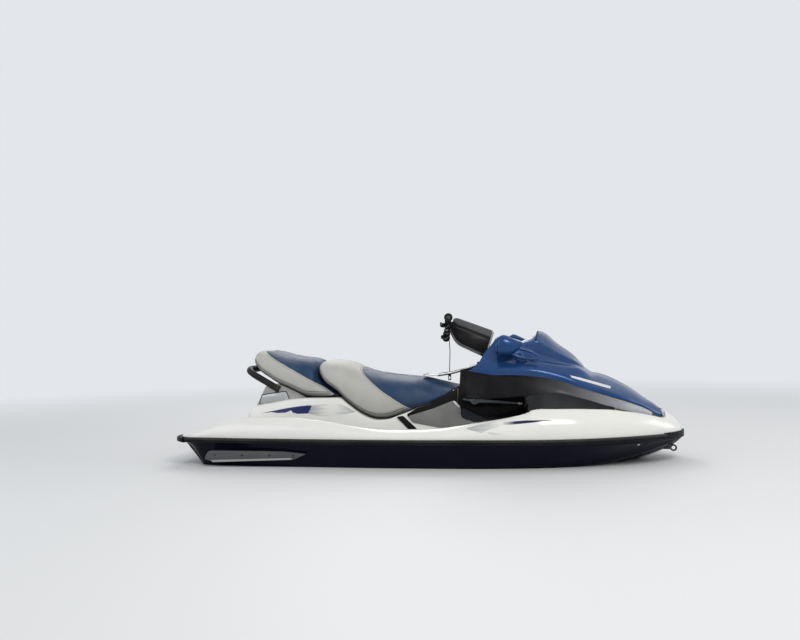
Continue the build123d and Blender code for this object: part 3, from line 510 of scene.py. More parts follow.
def makeVinyl():
    # leather-like cells of marine vinyl
    group, given, out = newGroup("vinylCells", ("Height",), Cells=520.0)
    bend = noiseNode(group, given["Vector"], 120.0)
    shift = addNode(group, "ShaderNodeMix", {0: 0.02, 4: given["Vector"], 5: bend["Color"]}, data_type="VECTOR")
    cells = addNode(group, "ShaderNodeTexVoronoi", {"Vector": shift.outputs[1], "Scale": given["Cells"]},
                    feature="DISTANCE_TO_EDGE")
    crease = rangeNode(group, cells.outputs["Distance"], 0.0, 0.12, 1.0, 0.0)
    group.links.new(mathNode(group, "SUBTRACT", 1.0, crease), out["Height"])
    return group


def makeDust():
    # thin dried film in patches
    group, given, out = newGroup("driedFilm", ("Film",), Amount=0.3)
    cloud = noiseNode(group, given["Vector"], 5.0, 8.0, 0.65)
    patches = rangeNode(group, cloud["Fac"], 0.42, 0.72)
    group.links.new(mathNode(group, "MULTIPLY", patches, given["Amount"]), out["Film"])
    return group


def makeScuff():
    # scratches along the boat, as boats get at the rail and on mats
    group, given, out = newGroup("scuffLines", ("Scuff",), Amount=0.3)
    stretch = addNode(group, "ShaderNodeMapping", {"Vector": given["Vector"], "Scale": (4.0, 160.0, 160.0)})
    lines = noiseNode(group, stretch.outputs[0], 1.0, 5.0, 0.7)
    patches = noiseNode(group, given["Vector"], 7.0)
    both = mathNode(group, "MULTIPLY", rangeNode(group, lines["Fac"], 0.6, 0.68),
                    rangeNode(group, patches["Fac"], 0.48, 0.62))
    group.links.new(mathNode(group, "MULTIPLY", both, given["Amount"]), out["Scuff"])
    return group


grainGroup, vinylGroup, dustGroup, scuffGroup = makeGrain(), makeVinyl(), makeDust(), makeScuff()


def placeGroup(tree, group, **inputs):
    return addNode(tree, "ShaderNodeGroup", inputs, node_tree=group).outputs


def finish(name, colour, rough=0.4, metal=0.0, coat=0.0, grain=900.0, relief=0.0, vary=0.12, film=0.0,
           filmColour=(0.55, 0.55, 0.5), scuff=0.0, vinyl=0.0, flake=0.0, spec=0.5, masks=()):
    # one painted, moulded, cast or sewn surface
    matter = bpy.data.materials.new(name)
    matter.use_nodes = True
    tree = matter.node_tree
    shader = tree.nodes["Principled BSDF"]
    place = addNode(tree, "ShaderNodeTexCoord").outputs["Object"]
    moulded = placeGroup(tree, grainGroup, Vector=place, Size=grain)
    shown = colour
    for mask, other in masks:
        shown = mixColour(tree, mask(tree, place), shown, other)
    tone = rangeNode(tree, moulded["Tone"], 0.3, 0.7, 1 - vary, 1.0)
    grey = addNode(tree, "ShaderNodeCombineColor", {0: tone, 1: tone, 2: tone})
    shown = mixColour(tree, 1.0, shown, grey.outputs[0], "MULTIPLY")
    roughness = rangeNode(tree, moulded["Tone"], 0.25, 0.75, rough * 0.85, min(rough * 1.2, 1.0))
    layers = []
    if film:
        layers.append((placeGroup(tree, dustGroup, Vector=place, Amount=film)["Film"], filmColour, 0.45))
    if scuff:
        pale = [min(1.0, c * 1.8 + 0.05) for c in colour]
        layers.append((placeGroup(tree, scuffGroup, Vector=place, Amount=scuff)["Scuff"], pale, 0.3))
    for mask, over, rougher in layers:
        shown = mixColour(tree, mask, shown, over)
        roughness = mathNode(tree, "ADD", roughness, mathNode(tree, "MULTIPLY", mask, rougher), clamp=True)
    if flake:
        glint = rangeNode(tree, noiseNode(tree, place, 2600.0, 1.0)["Fac"], 0.55, 0.75)
        bright = [min(1.0, c * 2.2 + 0.03) for c in colour]
        shown = mixColour(tree, mathNode(tree, "MULTIPLY", glint, flake), shown, bright)
    tree.links.new(shown, shader.inputs["Base Color"])
    tree.links.new(roughness, shader.inputs["Roughness"])
    for label, value in (("Metallic", metal), ("Coat Weight", coat), ("Coat Roughness", 0.06),
                         ("Specular IOR Level", spec)):
        shader.inputs[label].default_value = value
    if relief:
        height = placeGroup(tree, vinylGroup, Vector=place, Cells=vinyl)["Height"] if vinyl else moulded["Height"]
        bump = addNode(tree, "ShaderNodeBump", {"Height": height, "Strength": relief, "Distance": 0.0006})
        tree.links.new(bump.outputs["Normal"], shader.inputs["Normal"])
    return matter


def alongX(low, high, power=1.0):
    # mask that grows from one station to another
    def mask(tree, place):
        split = addNode(tree, "ShaderNodeSeparateXYZ", {0: place})
        share = rangeNode(tree, split.outputs["X"], low, high)
        return share if power == 1.0 else mathNode(tree, "POWER", share, power)
    return mask


def byTone(name="tone", low=-0.0006, high=0.0006):
    # mask from a value kept on the mesh, sharp at zero
    def mask(tree, place):
        kept = addNode(tree, "ShaderNodeAttribute", attribute_name=name)
        return rangeNode(tree, kept.outputs["Fac"], low, high)
    return mask


def keepTone(piece, values, name="tone"):
    tone = piece.data.attributes.get(name) or piece.data.attributes.new(name, "FLOAT", "POINT")
    tone.data.foreach_set("value", np.array(values, np.float32))


white = finish("whiteGelcoat", (0.87, 0.865, 0.83), rough=0.16, coat=0.3, vary=0.04, film=0.08,
               filmColour=(0.66, 0.64, 0.58))
navy = finish("navyGelcoat", (0.002, 0.0028, 0.014), rough=0.14, coat=0.05, vary=0.25, film=0.04, scuff=0.08,
              filmColour=(0.04, 0.04, 0.05), spec=0.1)
blue = finish("blueFlakePaint", (0.01, 0.055, 0.185), rough=0.2, metal=0.25, coat=0.2, vary=0.15, flake=0.3,
              film=0.03, spec=0.2)
# charcoal band turning silver towards the bow: partly the band's two-tone graphic, partly painted light, the silver
# standing in for the light its forward part catches
bandGraphicAndLight = finish("bandGraphicAndLight", (0.005, 0.005, 0.007), rough=0.28, metal=0.1, vary=0.12, film=0.02,
                   masks=((alongX(0.55, 1.22, 2.3), (0.4, 0.41, 0.44)),), spec=0.12)
trimPlastic = finish("trimPlastic", (0.014, 0.015, 0.018), rough=0.42, grain=700, relief=0.25, vary=0.3,
                     film=0.03,
                     spec=0.12)
blackPlastic = finish("blackPlastic", (0.0045, 0.0045, 0.0055), rough=0.38, grain=800, relief=0.25, vary=0.3,
                      film=0.02,
                      spec=0.1)
railRubber = finish("railRubber", (0.007, 0.007, 0.0075), rough=0.5, grain=600, relief=0.3, vary=0.3, film=0.04,
                    filmColour=(0.2, 0.2, 0.19), scuff=0.2, spec=0.12)
railTop = finish("railInsert", (0.018, 0.018, 0.018), rough=0.42, grain=600, relief=0.25, vary=0.25, film=0.08,
                 filmColour=(0.25, 0.25, 0.24), scuff=0.4, spec=0.2)
greyPlastic = finish("greyPlastic", (0.37, 0.365, 0.35), rough=0.45, grain=600, relief=0.25, vary=0.12,
                     film=0.12)
kneeGrey = finish("kneeGrey", (0.165, 0.168, 0.16), rough=0.45, grain=600, relief=0.25, vary=0.15, film=0.15)
sponsonGrey = finish("sponsonGrey", (0.085, 0.085, 0.092), rough=0.4, grain=600, relief=0.25, vary=0.2,
                     scuff=0.4,
                     spec=0.4)
handleRubber = finish("handleRubber", (0.012, 0.012, 0.013), rough=0.46, grain=500, relief=0.35, vary=0.3,
                      film=0.06,
                      spec=0.2)
matRubber = finish("matRubber", (0.03, 0.03, 0.031), rough=0.72, grain=260, relief=0.6, vary=0.3, film=0.3,
                   scuff=0.2)
# skirtShadeGrey is painted shade: the seat's lower strip below the seam faces down and is given a darker grey than
# the silver
silverVinyl, skirtShadeGrey, blueVinyl = (0.52, 0.515, 0.485), (0.2, 0.195, 0.185), (0.013, 0.045, 0.112)
seatVinyl = finish("seatVinyl", silverVinyl, rough=0.42, vinyl=420.0, relief=0.35, vary=0.08, film=0.06,
                   spec=0.25, masks=((byTone(), blueVinyl), (byTone("skirt", 0.0, 0.012), skirtShadeGrey)))
pipingVinyl = finish("pipingVinyl", (0.56, 0.56, 0.54), rough=0.42, vinyl=420.0, relief=0.2)
pipingDark = finish("pipingDark", (0.055, 0.055, 0.055), rough=0.5, vinyl=420.0, relief=0.2)
threadMatter = finish("seatThread", (0.1, 0.11, 0.13), rough=0.6, grain=3000, relief=0.4)
darkPanel = finish("darkVinyl", (0.01, 0.014, 0.04), rough=0.45, vinyl=420.0, relief=0.35, vary=0.15)
brightAlloy = finish("brightAlloy", (0.55, 0.55, 0.545), rough=0.28, metal=0.85, grain=1200, relief=0.08,
                     vary=0.1)
leverSatin = finish("leverSatin", (0.115, 0.125, 0.145), rough=0.34, metal=0.4, grain=1200, relief=0.08,
                    vary=0.15)
castAlloy = finish("castAlloy", (0.36, 0.36, 0.36), rough=0.5, metal=0.7, grain=420, relief=0.5, vary=0.2,
                   film=0.2,
                   filmColour=(0.25, 0.22, 0.17))
stainless = finish("stainless", (0.6, 0.6, 0.6), rough=0.2, metal=1.0, grain=1500, relief=0.05, vary=0.08)
darkSteel = finish("darkSteel", (0.05, 0.05, 0.052), rough=0.35, metal=0.8, grain=1500, relief=0.1, vary=0.2)
gripRubber = finish("gripRubber", (0.012, 0.012, 0.012), rough=0.6, grain=420, relief=0.5, vary=0.3, spec=0.15)
padRubber = finish("padRubber", (0.088, 0.09, 0.096), rough=0.55, grain=480, relief=0.4, vary=0.25, film=0.1,
                   spec=0.25)
mirrorFace = finish("mirrorFace", (0.8, 0.82, 0.84), rough=0.03, metal=1.0, vary=0.03)
bareBadge = finish("bareBadge", (0.5, 0.51, 0.52), rough=0.25, metal=0.5, coat=0.3)
darkInset = finish("darkInset", (0.005, 0.005, 0.006), rough=0.5, grain=500, relief=0.3, spec=0.12)
cornerPlastic = finish("cornerPlastic", (0.02, 0.022, 0.03), rough=0.42, grain=700, relief=0.25, vary=0.3,
                       spec=0.15)
lampWhite = finish("capWhite", (0.8, 0.8, 0.78), rough=0.2, coat=0.4)
cordWeave = finish("cordWeave", (0.03, 0.012, 0.01), rough=0.7, grain=1400, relief=0.6, vary=0.35, spec=0.15)


def wear(piece, matter, body=None, replaces=()):
    piece.data.materials.clear()
    piece.data.materials.append(matter)
    if body:
        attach(piece, body)
    if replaces:
        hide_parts(*replaces)
    return piece


cord.data.materials.append(cordWeave)
print("finishes made")


# rail plan, shared by hull, deck and bumpers
railPlan = dict(sternX=-1.52, cornerX=-1.3799, cornerY=0.3827, cornerRadius=0.1401, heading=6.2,
                knots=mm((-1395, 522), (585, 560), (1410, 215), (1525, 0)))


def railArcs():
    # centre and radius of each tangent arc of the rail's side
    heading = radians(railPlan["heading"])
    arcs = []
    for (ax, ay), (bx, by) in zip(railPlan["knots"], railPlan["knots"][1:]):
        nx, ny = sin(heading), -cos(heading)
        dx, dy = bx - ax, by - ay
        radius = (dx * dx + dy * dy) / (2 * (dx * nx + dy * ny))
        arcs.append((bx, ax + radius * nx, ay + radius * ny, radius))
        heading = 2 * np.arctan2(dy, dx) - heading
    return arcs


arcsOfRail = railArcs()


def railHalf(x):
    # half width of the rail's inner line at station x
    if x <= railPlan["knots"][0][0]:
        return railPlan["cornerY"] + sqrt(max(railPlan["cornerRadius"] ** 2 - (x - railPlan["cornerX"]) ** 2, 0))
    for endX, cx, cy, radius in arcsOfRail:
        if x <= endX:
            break
    return cy + sqrt(max(radius ** 2 - (x - cx) ** 2, 0))


def railLine(count=150):
    # port side of the rail's line from the stern's centre to the bow's tip, as x, y
    stern = [(railPlan["sternX"], y) for y in np.linspace(0, railPlan["cornerY"], 12)[:-1]]
    corner = [(railPlan["cornerX"] - railPlan["cornerRadius"] * cos(a),
               railPlan["cornerY"] + railPlan["cornerRadius"] * sin(a)) for a in np.linspace(0, radians(83.8), 12)]
    side = []
    for x in -1.395 + (1.525 + 1.395) * np.sin(np.linspace(0, pi / 2, count))[1:]:
        side.append((x, railHalf(min(x, 1.525))))
    side[-1] = (1.525, 0.0)
    return stern + corner + side


def stationsOf(first, last, step, extra=()):
    count = int(round((last - first) / step))
    return sorted(set([round(first + (last - first) * k / count, 4) for k in range(count + 1)] + list(extra)))


lowerHull = dict(
    # x, keel pad half width, keel z, chine half width, chine z
    rows=mm(
        (-1500, 125, -152, 400, -62), (-1420, 125, -152, 438, -62), (-1000, 125, -152, 468, -60),
        (-400, 95, -152, 482, -54), (200, 60, -152, 476, -45), (650, 25, -134, 425, -26),
        (1000, 10, -72, 328, 10), (1250, 6, -4, 204, 56), (1400, 5, 54, 112, 94), (1480, 4, 98, 48, 120),
        (1512, 2, 126, 12, 134)),
    rake=mm((-160, -1372), (-26, -1378), (60, -1395), (100, -1425), (125, -1460), (150, -1500)),
    top=0.15, underRail=0.012, tuck=0.024, tuckZ=0.13, rakeFrom=-1.3, strake=0.56, ductHalf=0.075,
    tunnel=((-1.7, -0.104, -0.3), (-1.112, 0.104, 0.03)),
    duct=mm((-1113, -144), (-1113, 12), (-1050, 12), (-990, -10), (-700, -170), (-1020, -170), (-1046, -150)),
)


def makeLowerHull():
    rings = []
    stations = stationsOf(-1.5, 1.44, 0.04, (-1.49, -1.47, 1.46, 1.48, 1.495, 1.505, 1.512))
    rakeZ, rakeX = zip(*lowerHull["rake"])
    for x, (pad, keel, chine, chineZ) in zip(stations, rowsAt(lowerHull["rows"], stations)):
        edge = railHalf(x)
        top = max(edge - lowerHull["underRail"], 0.006)
        side = max(edge - lowerHull["tuck"], 0.005)
        chine = min(chine, side - 0.004)
        mid = lowerHull["strake"]
        strakeY, strakeZ = chine * mid + pad * (1 - mid), chineZ * mid + keel * (1 - mid)
        depth = min(0.012, 0.2 * (chine - pad))
        half = [(x, top, lowerHull["top"]), (x, side, lowerHull["tuckZ"]),
                (x, chine + 0.35 * (side - chine), chineZ + 0.045), (x, chine, chineZ),
                (x, strakeY + depth, strakeZ + 0.2 * depth), (x, strakeY, strakeZ - 0.6 * depth),
                (x, strakeY - 0.3 * depth, strakeZ - 0.2 * depth), (x, pad, keel), (x, 0, keel)]
        ring = bothSides(softCorners(half, (0.01, 0.05, 0.006, 0.004, 0.003, 0.003, 0.006), 4))
        for p in ring:
            if x < lowerHull["rakeFrom"]:
                last = np.interp(p.z, rakeZ, rakeX)
                share = (x - lowerHull["rakeFrom"]) / (-1.5 - lowerHull["rakeFrom"])
                p.x = lowerHull["rakeFrom"] + share * (last - lowerHull["rakeFrom"])
        rings.append(ring)
    piece = skin("lowerHull", rings)
    closeHoles(piece)
    cutAway(piece, block("tunnelCut", *lowerHull["tunnel"]))
    cutAway(piece, slab("ductCut", lowerHull["duct"], 0, lowerHull["ductHalf"]))
    return wear(piece, navy, "hull", ("lower_hull",))


hullPiece = makeLowerHull()
print("lower hull made")


upperDeck = dict(
    # x, gunwale crest y z, its inner lip y z, well y z, pedestal foot y z, flank y z, top y z
    rows=mm(
        (-1516, 400, 180, 380, 180, 360, 180, 260, 181, 240, 181, 200, 181),
        (-1495, 425, 185, 412, 184, 398, 183, 260, 182, 240, 182, 200, 182),
        (-1400, 465, 215, 447, 214, 432, 183, 270, 182, 250, 182, 220, 182),
        (-1280, 486, 256, 463, 256, 436, 183, 270, 182, 250, 182, 220, 182),
        (-1160, 496, 278, 472, 279, 444, 183, 270, 182, 250, 182, 220, 182),
        (-1143, 497, 280, 473, 281, 446, 183, 290, 183, 280, 186, 262, 190),
        (-1130, 498, 282, 474, 283, 447, 183, 296, 183, 279, 262, 254, 316),
        (-1085, 500, 288, 476, 289, 450, 183, 297, 183, 274, 285, 247, 345),
        (-990, 503, 293, 478, 294, 450, 183, 297, 183, 271, 296, 244, 360),
        (-840, 507, 295, 482, 297, 450, 183, 297, 183, 267, 315, 240, 385),
        (-720, 509, 290, 483, 292, 450, 183, 297, 183, 265, 318, 238, 391),
        (-545, 511, 271, 485, 273, 450, 183, 297, 183, 265, 318, 238, 392),
        (-490, 512, 263, 485, 265, 450, 183, 297, 183, 268, 300, 246, 356),
        (-425, 512, 252, 485, 254, 450, 183, 297, 183, 275, 270, 257, 308),
        (-360, 512, 242, 485, 244, 450, 183, 297, 183, 280, 245, 266, 273),
        (-295, 512, 234, 485, 235, 450, 183, 297, 183, 283, 232, 270, 256),
        (-235, 512, 228, 485, 229, 450, 183, 297, 183, 283, 234, 270, 259),
        (-160, 512, 225, 485, 226, 450, 183, 297, 183, 279, 250, 264, 283),
        (-60, 511, 225, 484, 226, 450, 183, 297, 183, 273, 275, 256, 318),
        (60, 509, 228, 482, 229, 450, 183, 297, 183, 268, 300, 248, 354),
        (140, 507, 232, 480, 233, 450, 183, 297, 183, 263, 330, 240, 402),
        (196, 505, 238, 478, 239, 450, 183, 296, 183, 258, 350, 234, 440),
        (208, 504, 240, 477, 241, 450, 183, 290, 182, 250, 183, 200, 183),
        (300, 502, 255, 475, 256, 450, 183, 290, 182, 250, 182, 200, 182),
        (450, 492, 277, 467, 278, 446, 184, 290, 182, 250, 182, 200, 182),
        (560, 483, 297, 459, 298, 438, 200, 290, 186, 250, 182, 200, 182),
        (620, 476, 311, 452, 312, 425, 262, 290, 255, 250, 184, 200, 183),
        (645, 472, 323, 448, 324, 420, 318, 290, 316, 230, 318, 222, 318),
        (656, 470, 330, 446, 331, 410, 328, 280, 330, 206.5, 333, 203.5, 187),
        (720, 456, 344, 434, 345, 390, 339, 260, 335, 206.5, 334, 203.5, 187),
        (900, 412, 340, 392, 341, 345, 338, 245, 336, 206.5, 334, 203.5, 187),
        (1100, 334, 322, 318, 323, 285, 327, 230, 332, 206.5, 332, 203.5, 187),
        (1132, 320, 317, 303, 318, 270, 322, 225, 329, 206.5, 330, 203.5, 187),
        (1142, 315, 315, 298, 316, 262, 317, 220, 314, 200, 310, 160, 308),
        (1240, 262, 298, 222, 300, 212, 290, 195, 284, 150, 282, 100, 282),
        (1350, 190, 273, 142, 271, 133, 250, 120, 246, 90, 243, 50, 243),
        (1402, 147, 257, 84, 256, 76, 222, 62, 216, 40, 216, 20, 216),
        (1411, 138, 255, 76, 262, 64, 258, 50, 256, 34, 255, 18, 255),
        (1418, 130, 256, 74, 277, 57, 283, 42, 285, 30, 286, 16, 286),
        (1450, 94, 246, 66, 260, 50, 265, 38, 268, 26, 269, 14, 269),
        (1488, 50, 221, 38, 228, 28, 231, 20, 233, 14, 234, 7, 234),
        (1510, 22, 196, 17, 199, 13, 200, 9, 200, 6, 200, 3, 200),
        (1520, 8, 174, 6, 176, 5, 176, 4, 176, 3, 176, 2, 176)),
    foot=0.15, inset=0.004, bulge=0.62, bulgeIn=0.13,
    radii=(0.01, 0.06, 0.026, 0.01, 0.022, 0.018, 0.03, 0.012),
)


def makeUpperDeck():
    rows = upperDeck["rows"]
    extra = [r[0] for r in rows] + [1.365, 1.38, 1.392, 1.43, 1.465, 1.476, 1.5, -1.505]
    stations = stationsOf(-1.516, 1.36, 0.032, extra)
    rings = []
    for x, v in zip(stations, rowsAt(rows, stations)):
        edge = max(railHalf(x) - upperDeck["inset"], v[0] + 0.004)
        rise = v[1] - 0.16
        half = [(x, edge, upperDeck["foot"]), (x, edge, 0.168),
                (x, edge - upperDeck["bulgeIn"] * (edge - v[0]), 0.16 + upperDeck["bulge"] * rise)]
        half += [(x, v[i], v[i + 1]) for i in range(0, 12, 2)]
        half.append((x, 0, v[11]))
        rings.append(bothSides(softCorners(half, upperDeck["radii"], 5)))
    piece = skin("upperDeck", rings)
    closeHoles(piece)
    piece.data.set_sharp_from_angle(angle=radians(50))
    return wear(piece, white, "hull", ("upper_deck",))


deckPiece = makeUpperDeck()
print("upper deck made")


def addTo(pieces, matter, body, replaces=()):
    # the pieces of one moulding, joined and finished
    whole = pieces[0] if len(pieces) == 1 else joinPieces(pieces[0].name, pieces)
    tidyMesh(whole, 40)
    return wear(whole, matter, body, replaces)


def softOutline(points, radius, steps=4):
    # closed (x, z) outline with rounded corners
    points = [Vector((p[0], 0, p[1])) for p in points]
    n = len(points)
    out = []
    for i, p in enumerate(points):
        back, ahead = points[i - 1] - p, points[(i + 1) % n] - p
        r = radius[i] if hasattr(radius, "__len__") else radius
        start = p + back.normalized() * min(r, 0.48 * back.length)
        end = p + ahead.normalized() * min(r, 0.48 * ahead.length)
        for k in range(steps):
            t = k / (steps - 1)
            q = (1 - t) ** 2 * start + 2 * t * (1 - t) * p + t * t * end
            out.append((q.x, q.z))
    return out


def mirrored(piece, name):
    # copy on the other side of the boat
    twin = newObject(name, piece.data.copy())
    twin.data.transform(Matrix.Scale(-1, 4, Vector((0, 1, 0))))
    twin.data.flip_normals()
    return twin


def screwHead(name, place, facing, radius=0.005, high=0.0025):
    # domed head with a round recess
    facing = Vector(facing).normalized()
    up = (1, 0, 0) if abs(facing.x) < 0.8 else (0, 1, 0)
    rows = ((0.0, 1.0), (0.45, 1.0), (0.8, 0.86), (1.0, 0.6), (1.0, 0.42), (0.35, 0.4))
    rings = [ringAt(Vector(place) + facing * high * h, facing, radius * r, radius * r, 18, up) for h, r in rows]
    return skin(name, rings, closed=True)


# rubber rail round the boat, and its thicker ends at bow and stern
railShape = dict(
    # outward, z
    body=((-0.002, 0.146), (0.015, 0.146), (0.0205, 0.149), (0.022, 0.154), (0.0215, 0.1585), (0.0185, 0.1595),
          (0.0185, 0.161), (0.012, 0.1612), (-0.002, 0.1612)),
    insert=mm((-2, 160), (17.5, 160), (20.5, 162), (20.8, 168), (18.5, 172.5), (13, 175), (-2, 175.2)),
    bow=mm(
        (-4, 140), (20, 140), (29, 143.5), (33.5, 151), (33.5, 157), (31, 158.5), (31, 160.5), (33.5, 162),
        (33.5, 168), (29, 175.5), (20, 179), (-4, 179)),
    stern=mm(
        (-4, 142), (17, 142), (26, 145.5), (30, 152), (30, 156.5), (27.5, 158), (27.5, 160), (30, 161.5),
        (29, 168), (24, 173.5), (16, 175), (-4, 175)),
    bowFrom=1.4, bowTip=1.5248, sternTo=-1.44,
)


def railRings(points, profile):
    rings = []
    n = len(points)
    for i, (x, y) in enumerate(points):
        a, b = Vector((*points[max(i - 1, 0)], 0)), Vector((*points[min(i + 1, n - 1)], 0))
        along = (b - a).normalized()
        out = Vector((-along.y, along.x, 0))
        rings.append([Vector((x, y, z)) + out * d for d, z in profile])
    return rings


def makeRail():
    port = railLine()
    side = [p for p in port if railShape["sternTo"] < p[0] < railShape["bowFrom"] and p[1] > 0.1]
    side = [(railShape["sternTo"], railHalf(railShape["sternTo"]))] + side
    side.append((railShape["bowFrom"], railHalf(railShape["bowFrom"])))
    bow = [(railShape["bowFrom"], railHalf(railShape["bowFrom"]))]
    bow += [p for p in port if p[0] > railShape["bowFrom"] and p[1] > 0.004]
    bow = bow + [(railShape["bowTip"], 0.0)] + [(x, -y) for x, y in reversed(bow)]
    stern = sorted((p for p in port if p[0] <= railShape["sternTo"]), key=lambda p: (p[1], p[0]))
    stern = [(x, -y) for x, y in reversed(stern[1:])] + stern
    for label, key, matter in (("rubRail", "body", railRubber), ("railInsert", "insert", railTop)):
        halves = []
        for sign in (1, -1):
            line = [(x, sign * y) for x, y in side]
            profile = railShape[key] if sign > 0 else [(-d, z) for d, z in railShape[key]]
            halves.append(skin(label, railRings(line, profile), closed=True))
        addTo(halves, matter, "hull", ("rub_rail",))
    flipped = [(-d, z) for d, z in railShape["bow"]]
    for label, node, line, profile in (("bowBumper", "bow_bumper", bow, flipped),
                                       ("sternBumper", "stern_bumper", stern, railShape["stern"])):
        addTo([skin(label, railRings(line, profile), closed=True)], railRubber, "hull", (node,))
    heads = []
    for x in np.arange(-1.3, 1.36, 0.19):
        for sign in (1, -1):
            place = (x, sign * (railHalf(x) + 0.0195), 0.1665)
            heads.append(screwHead("railScrews", place, (0, sign, 0), 0.004, 0.0022))
    for x in (1.43, 1.48):
        for sign in (1, -1):
            heads.append(screwHead("railScrews", (x, sign * (railHalf(x) + 0.006), 0.1785), (0, 0, 1), 0.005, 0.003))
    addTo(heads, darkSteel, "hull")


makeRail()
print("rail made")

fittings = dict(
    sponson=mm((-1306, 50), (-1276, 98), (-800, 98), (-655, 84), (-730, 52), (-1258, 34)),
    sponsonFoot=mm((-1262, 42), (-1250, 30), (-742, 50), (-752, 60)),
    sponsonY=0.522, sponsonHalf=0.032, drain=(1.25, 0.12), drainRadius=0.008, cap=(1.297, 0.373), whiteDomeRadius=0.013,
)


def makeSponsons():
    for sign, name, slotNode in ((1, "sponsonLeft", "sponson_left"), (-1, "sponsonRight", "sponson_right")):
        y = sign * fittings["sponsonY"]
        body = slab(name, softOutline(fittings["sponson"], 0.014), y, fittings["sponsonHalf"])
        roundEdges(body, 0.006, 3)
        foot = slab(name + "Foot", softOutline(fittings["sponsonFoot"], 0.004), y + sign * 0.01, 0.0235)
        roundEdges(foot, 0.002, 2)
        wear(foot, greyPlastic, "hull")
        wear(body, sponsonGrey, "hull", (slotNode,))
        side = y + sign * (fittings["sponsonHalf"] - 0.0005)
        heads = [screwHead(name + "Screws", (x, side, 0.074), (0, sign, 0), 0.007)
                 for x in (-1.235, -1.06, -0.885, -0.735)]
        addTo(heads, darkSteel, "hull")


makeSponsons()
print("sponsons made")

# hood: x, edge, cheek, crease, valley and top as y, z, and z at the centre
hoodShape = dict(
    rows=mm(
        (262, 340, 558, 336, 566, 322, 574, 300, 580, 240, 590, 592),
        (360, 350, 541, 354, 563, 337, 588, 305, 612, 246, 672, 678),
        (450, 360, 527, 366, 560, 334, 593, 300, 622, 238, 748, 758),
        (520, 364, 527, 369, 563, 330, 594, 292, 616, 230, 738, 750),
        (600, 364, 525, 369, 562, 322, 600, 276, 612, 218, 712, 725),
        (690, 360, 515, 364, 554, 306, 600, 258, 606, 200, 664, 680),
        (760, 354, 503, 357, 541, 288, 588, 238, 595, 186, 636, 650),
        (850, 344, 476, 346, 514, 260, 571, 210, 577, 156, 600, 612),
        (920, 335, 452, 336, 486, 234, 560, 184, 564, 126, 574, 582),
        (965, 324, 439, 323, 466, 218, 532, 170, 537, 112, 543, 549),
        (1000, 314, 429, 312, 454, 212, 500, 162, 512, 112, 518, 525),
        (1040, 300, 418, 297, 442, 208, 478, 150, 497, 116, 506, 518),
        (1100, 277, 396, 274, 418, 194, 450, 138, 468, 106, 478, 496),
        (1180, 239, 369, 236, 387, 168, 418, 120, 434, 90, 442, 455),
        (1240, 206, 345, 203, 361, 146, 390, 104, 402, 76, 408, 417),
        (1300, 168, 320, 165, 334, 118, 354, 84, 363, 60, 367, 372),
        (1325, 148, 304, 146, 318, 105, 340, 74, 349, 52, 352, 355),
        (1355, 120, 276, 119, 294, 86, 322, 62, 331, 44, 333, 335),
        (1385, 88, 262, 87, 278, 62, 300, 42, 307, 26, 309, 310),
        (1402, 66, 262, 63, 274, 46, 287, 30, 292, 18, 294, 295)),
    radii=(0.03, 0.022, 0.045, 0.03), wall=0.007, notchHalf=0.122, notchFront=0.618,
    rearCut=mm(
        (50, 300), (256, 548), (300, 558), (345, 596), (372, 650), (427, 717), (450, 757), (455, 1100),
        (50, 1100)),
    hinge=(1.396, 0.293), barrel=0.0085, hingeHalf=0.035,
)


def hoodRings(stations, lower=0.0):
    rings = []
    for x, v in zip(stations, rowsAt(hoodShape["rows"], stations)):
        half = [(x, v[i], v[i + 1] - lower) for i in range(0, 10, 2)]
        half.append((x, 0, v[10] - lower))
        rings.append(bothSides(softCorners(half, hoodShape["radii"], 6)))
    return rings


def makeHood():
    stations = stationsOf(0.262, 1.402, 0.02, (0.965, 1.0, 1.02, 1.392))
    piece = skin("hood", hoodRings(stations), capStart=False, capEnd=True)
    thick = piece.modifiers.new("wall", "SOLIDIFY")
    thick.thickness = hoodShape["wall"]
    thick.offset = -1
    thick.use_even_offset = False
    applyModifiers(piece)
    cutAway(piece, slab("rearCut", hoodShape["rearCut"], 0, 0.6))
    half = hoodShape["notchHalf"]
    notch = block("notchCut", (0.1, -half, 0.4), (hoodShape["notchFront"], half, 0.9))
    roundEdges(notch, 0.03, 5)
    cutAway(piece, notch)
    x, z = hoodShape["hinge"]
    for sign in (1, -1):
        y = sign * (hoodShape["hingeHalf"] + 0.0053)
        cutAway(piece, block("lugCut", (x - 0.018, y - 0.0085, z - 0.05), (x + 0.03, y + 0.0085, z + 0.03)))
    tidyMesh(piece, 34)
    return wear(piece, blue, "hood", ("hood",))


def makeHinge():
    x, z = hoodShape["hinge"]
    half, r = hoodShape["hingeHalf"], hoodShape["barrel"]
    barrel = tube("hoodBarrel", [(x, -half, z), (x, -half + 0.001, z), (x, half - 0.001, z), (x, half, z)],
                  [r - 0.001, r, r, r - 0.001], count=24)
    addTo([barrel], darkInset, "hood")
    lugs = []
    for sign in (1, -1):
        y = sign * (half + 0.0053)
        lugs.append(tube("hingeLugs", [(x, y - 0.005, z), (x, y + 0.005, z)], 0.006, count=24))
        lug = block("hingeLugs", (x - 0.006, y - 0.005, z - 0.082), (x + 0.006, y + 0.005, z))
        lugs.append(roundEdges(lug, 0.001, 2))
        lugs.append(screwHead("hingeLugs", (x, sign * (half + 0.0103), z), (0, sign, 0), 0.004, 0.002))
    addTo(lugs, white, "hull")


hoodPiece = makeHood()
makeHinge()
print("hood made")

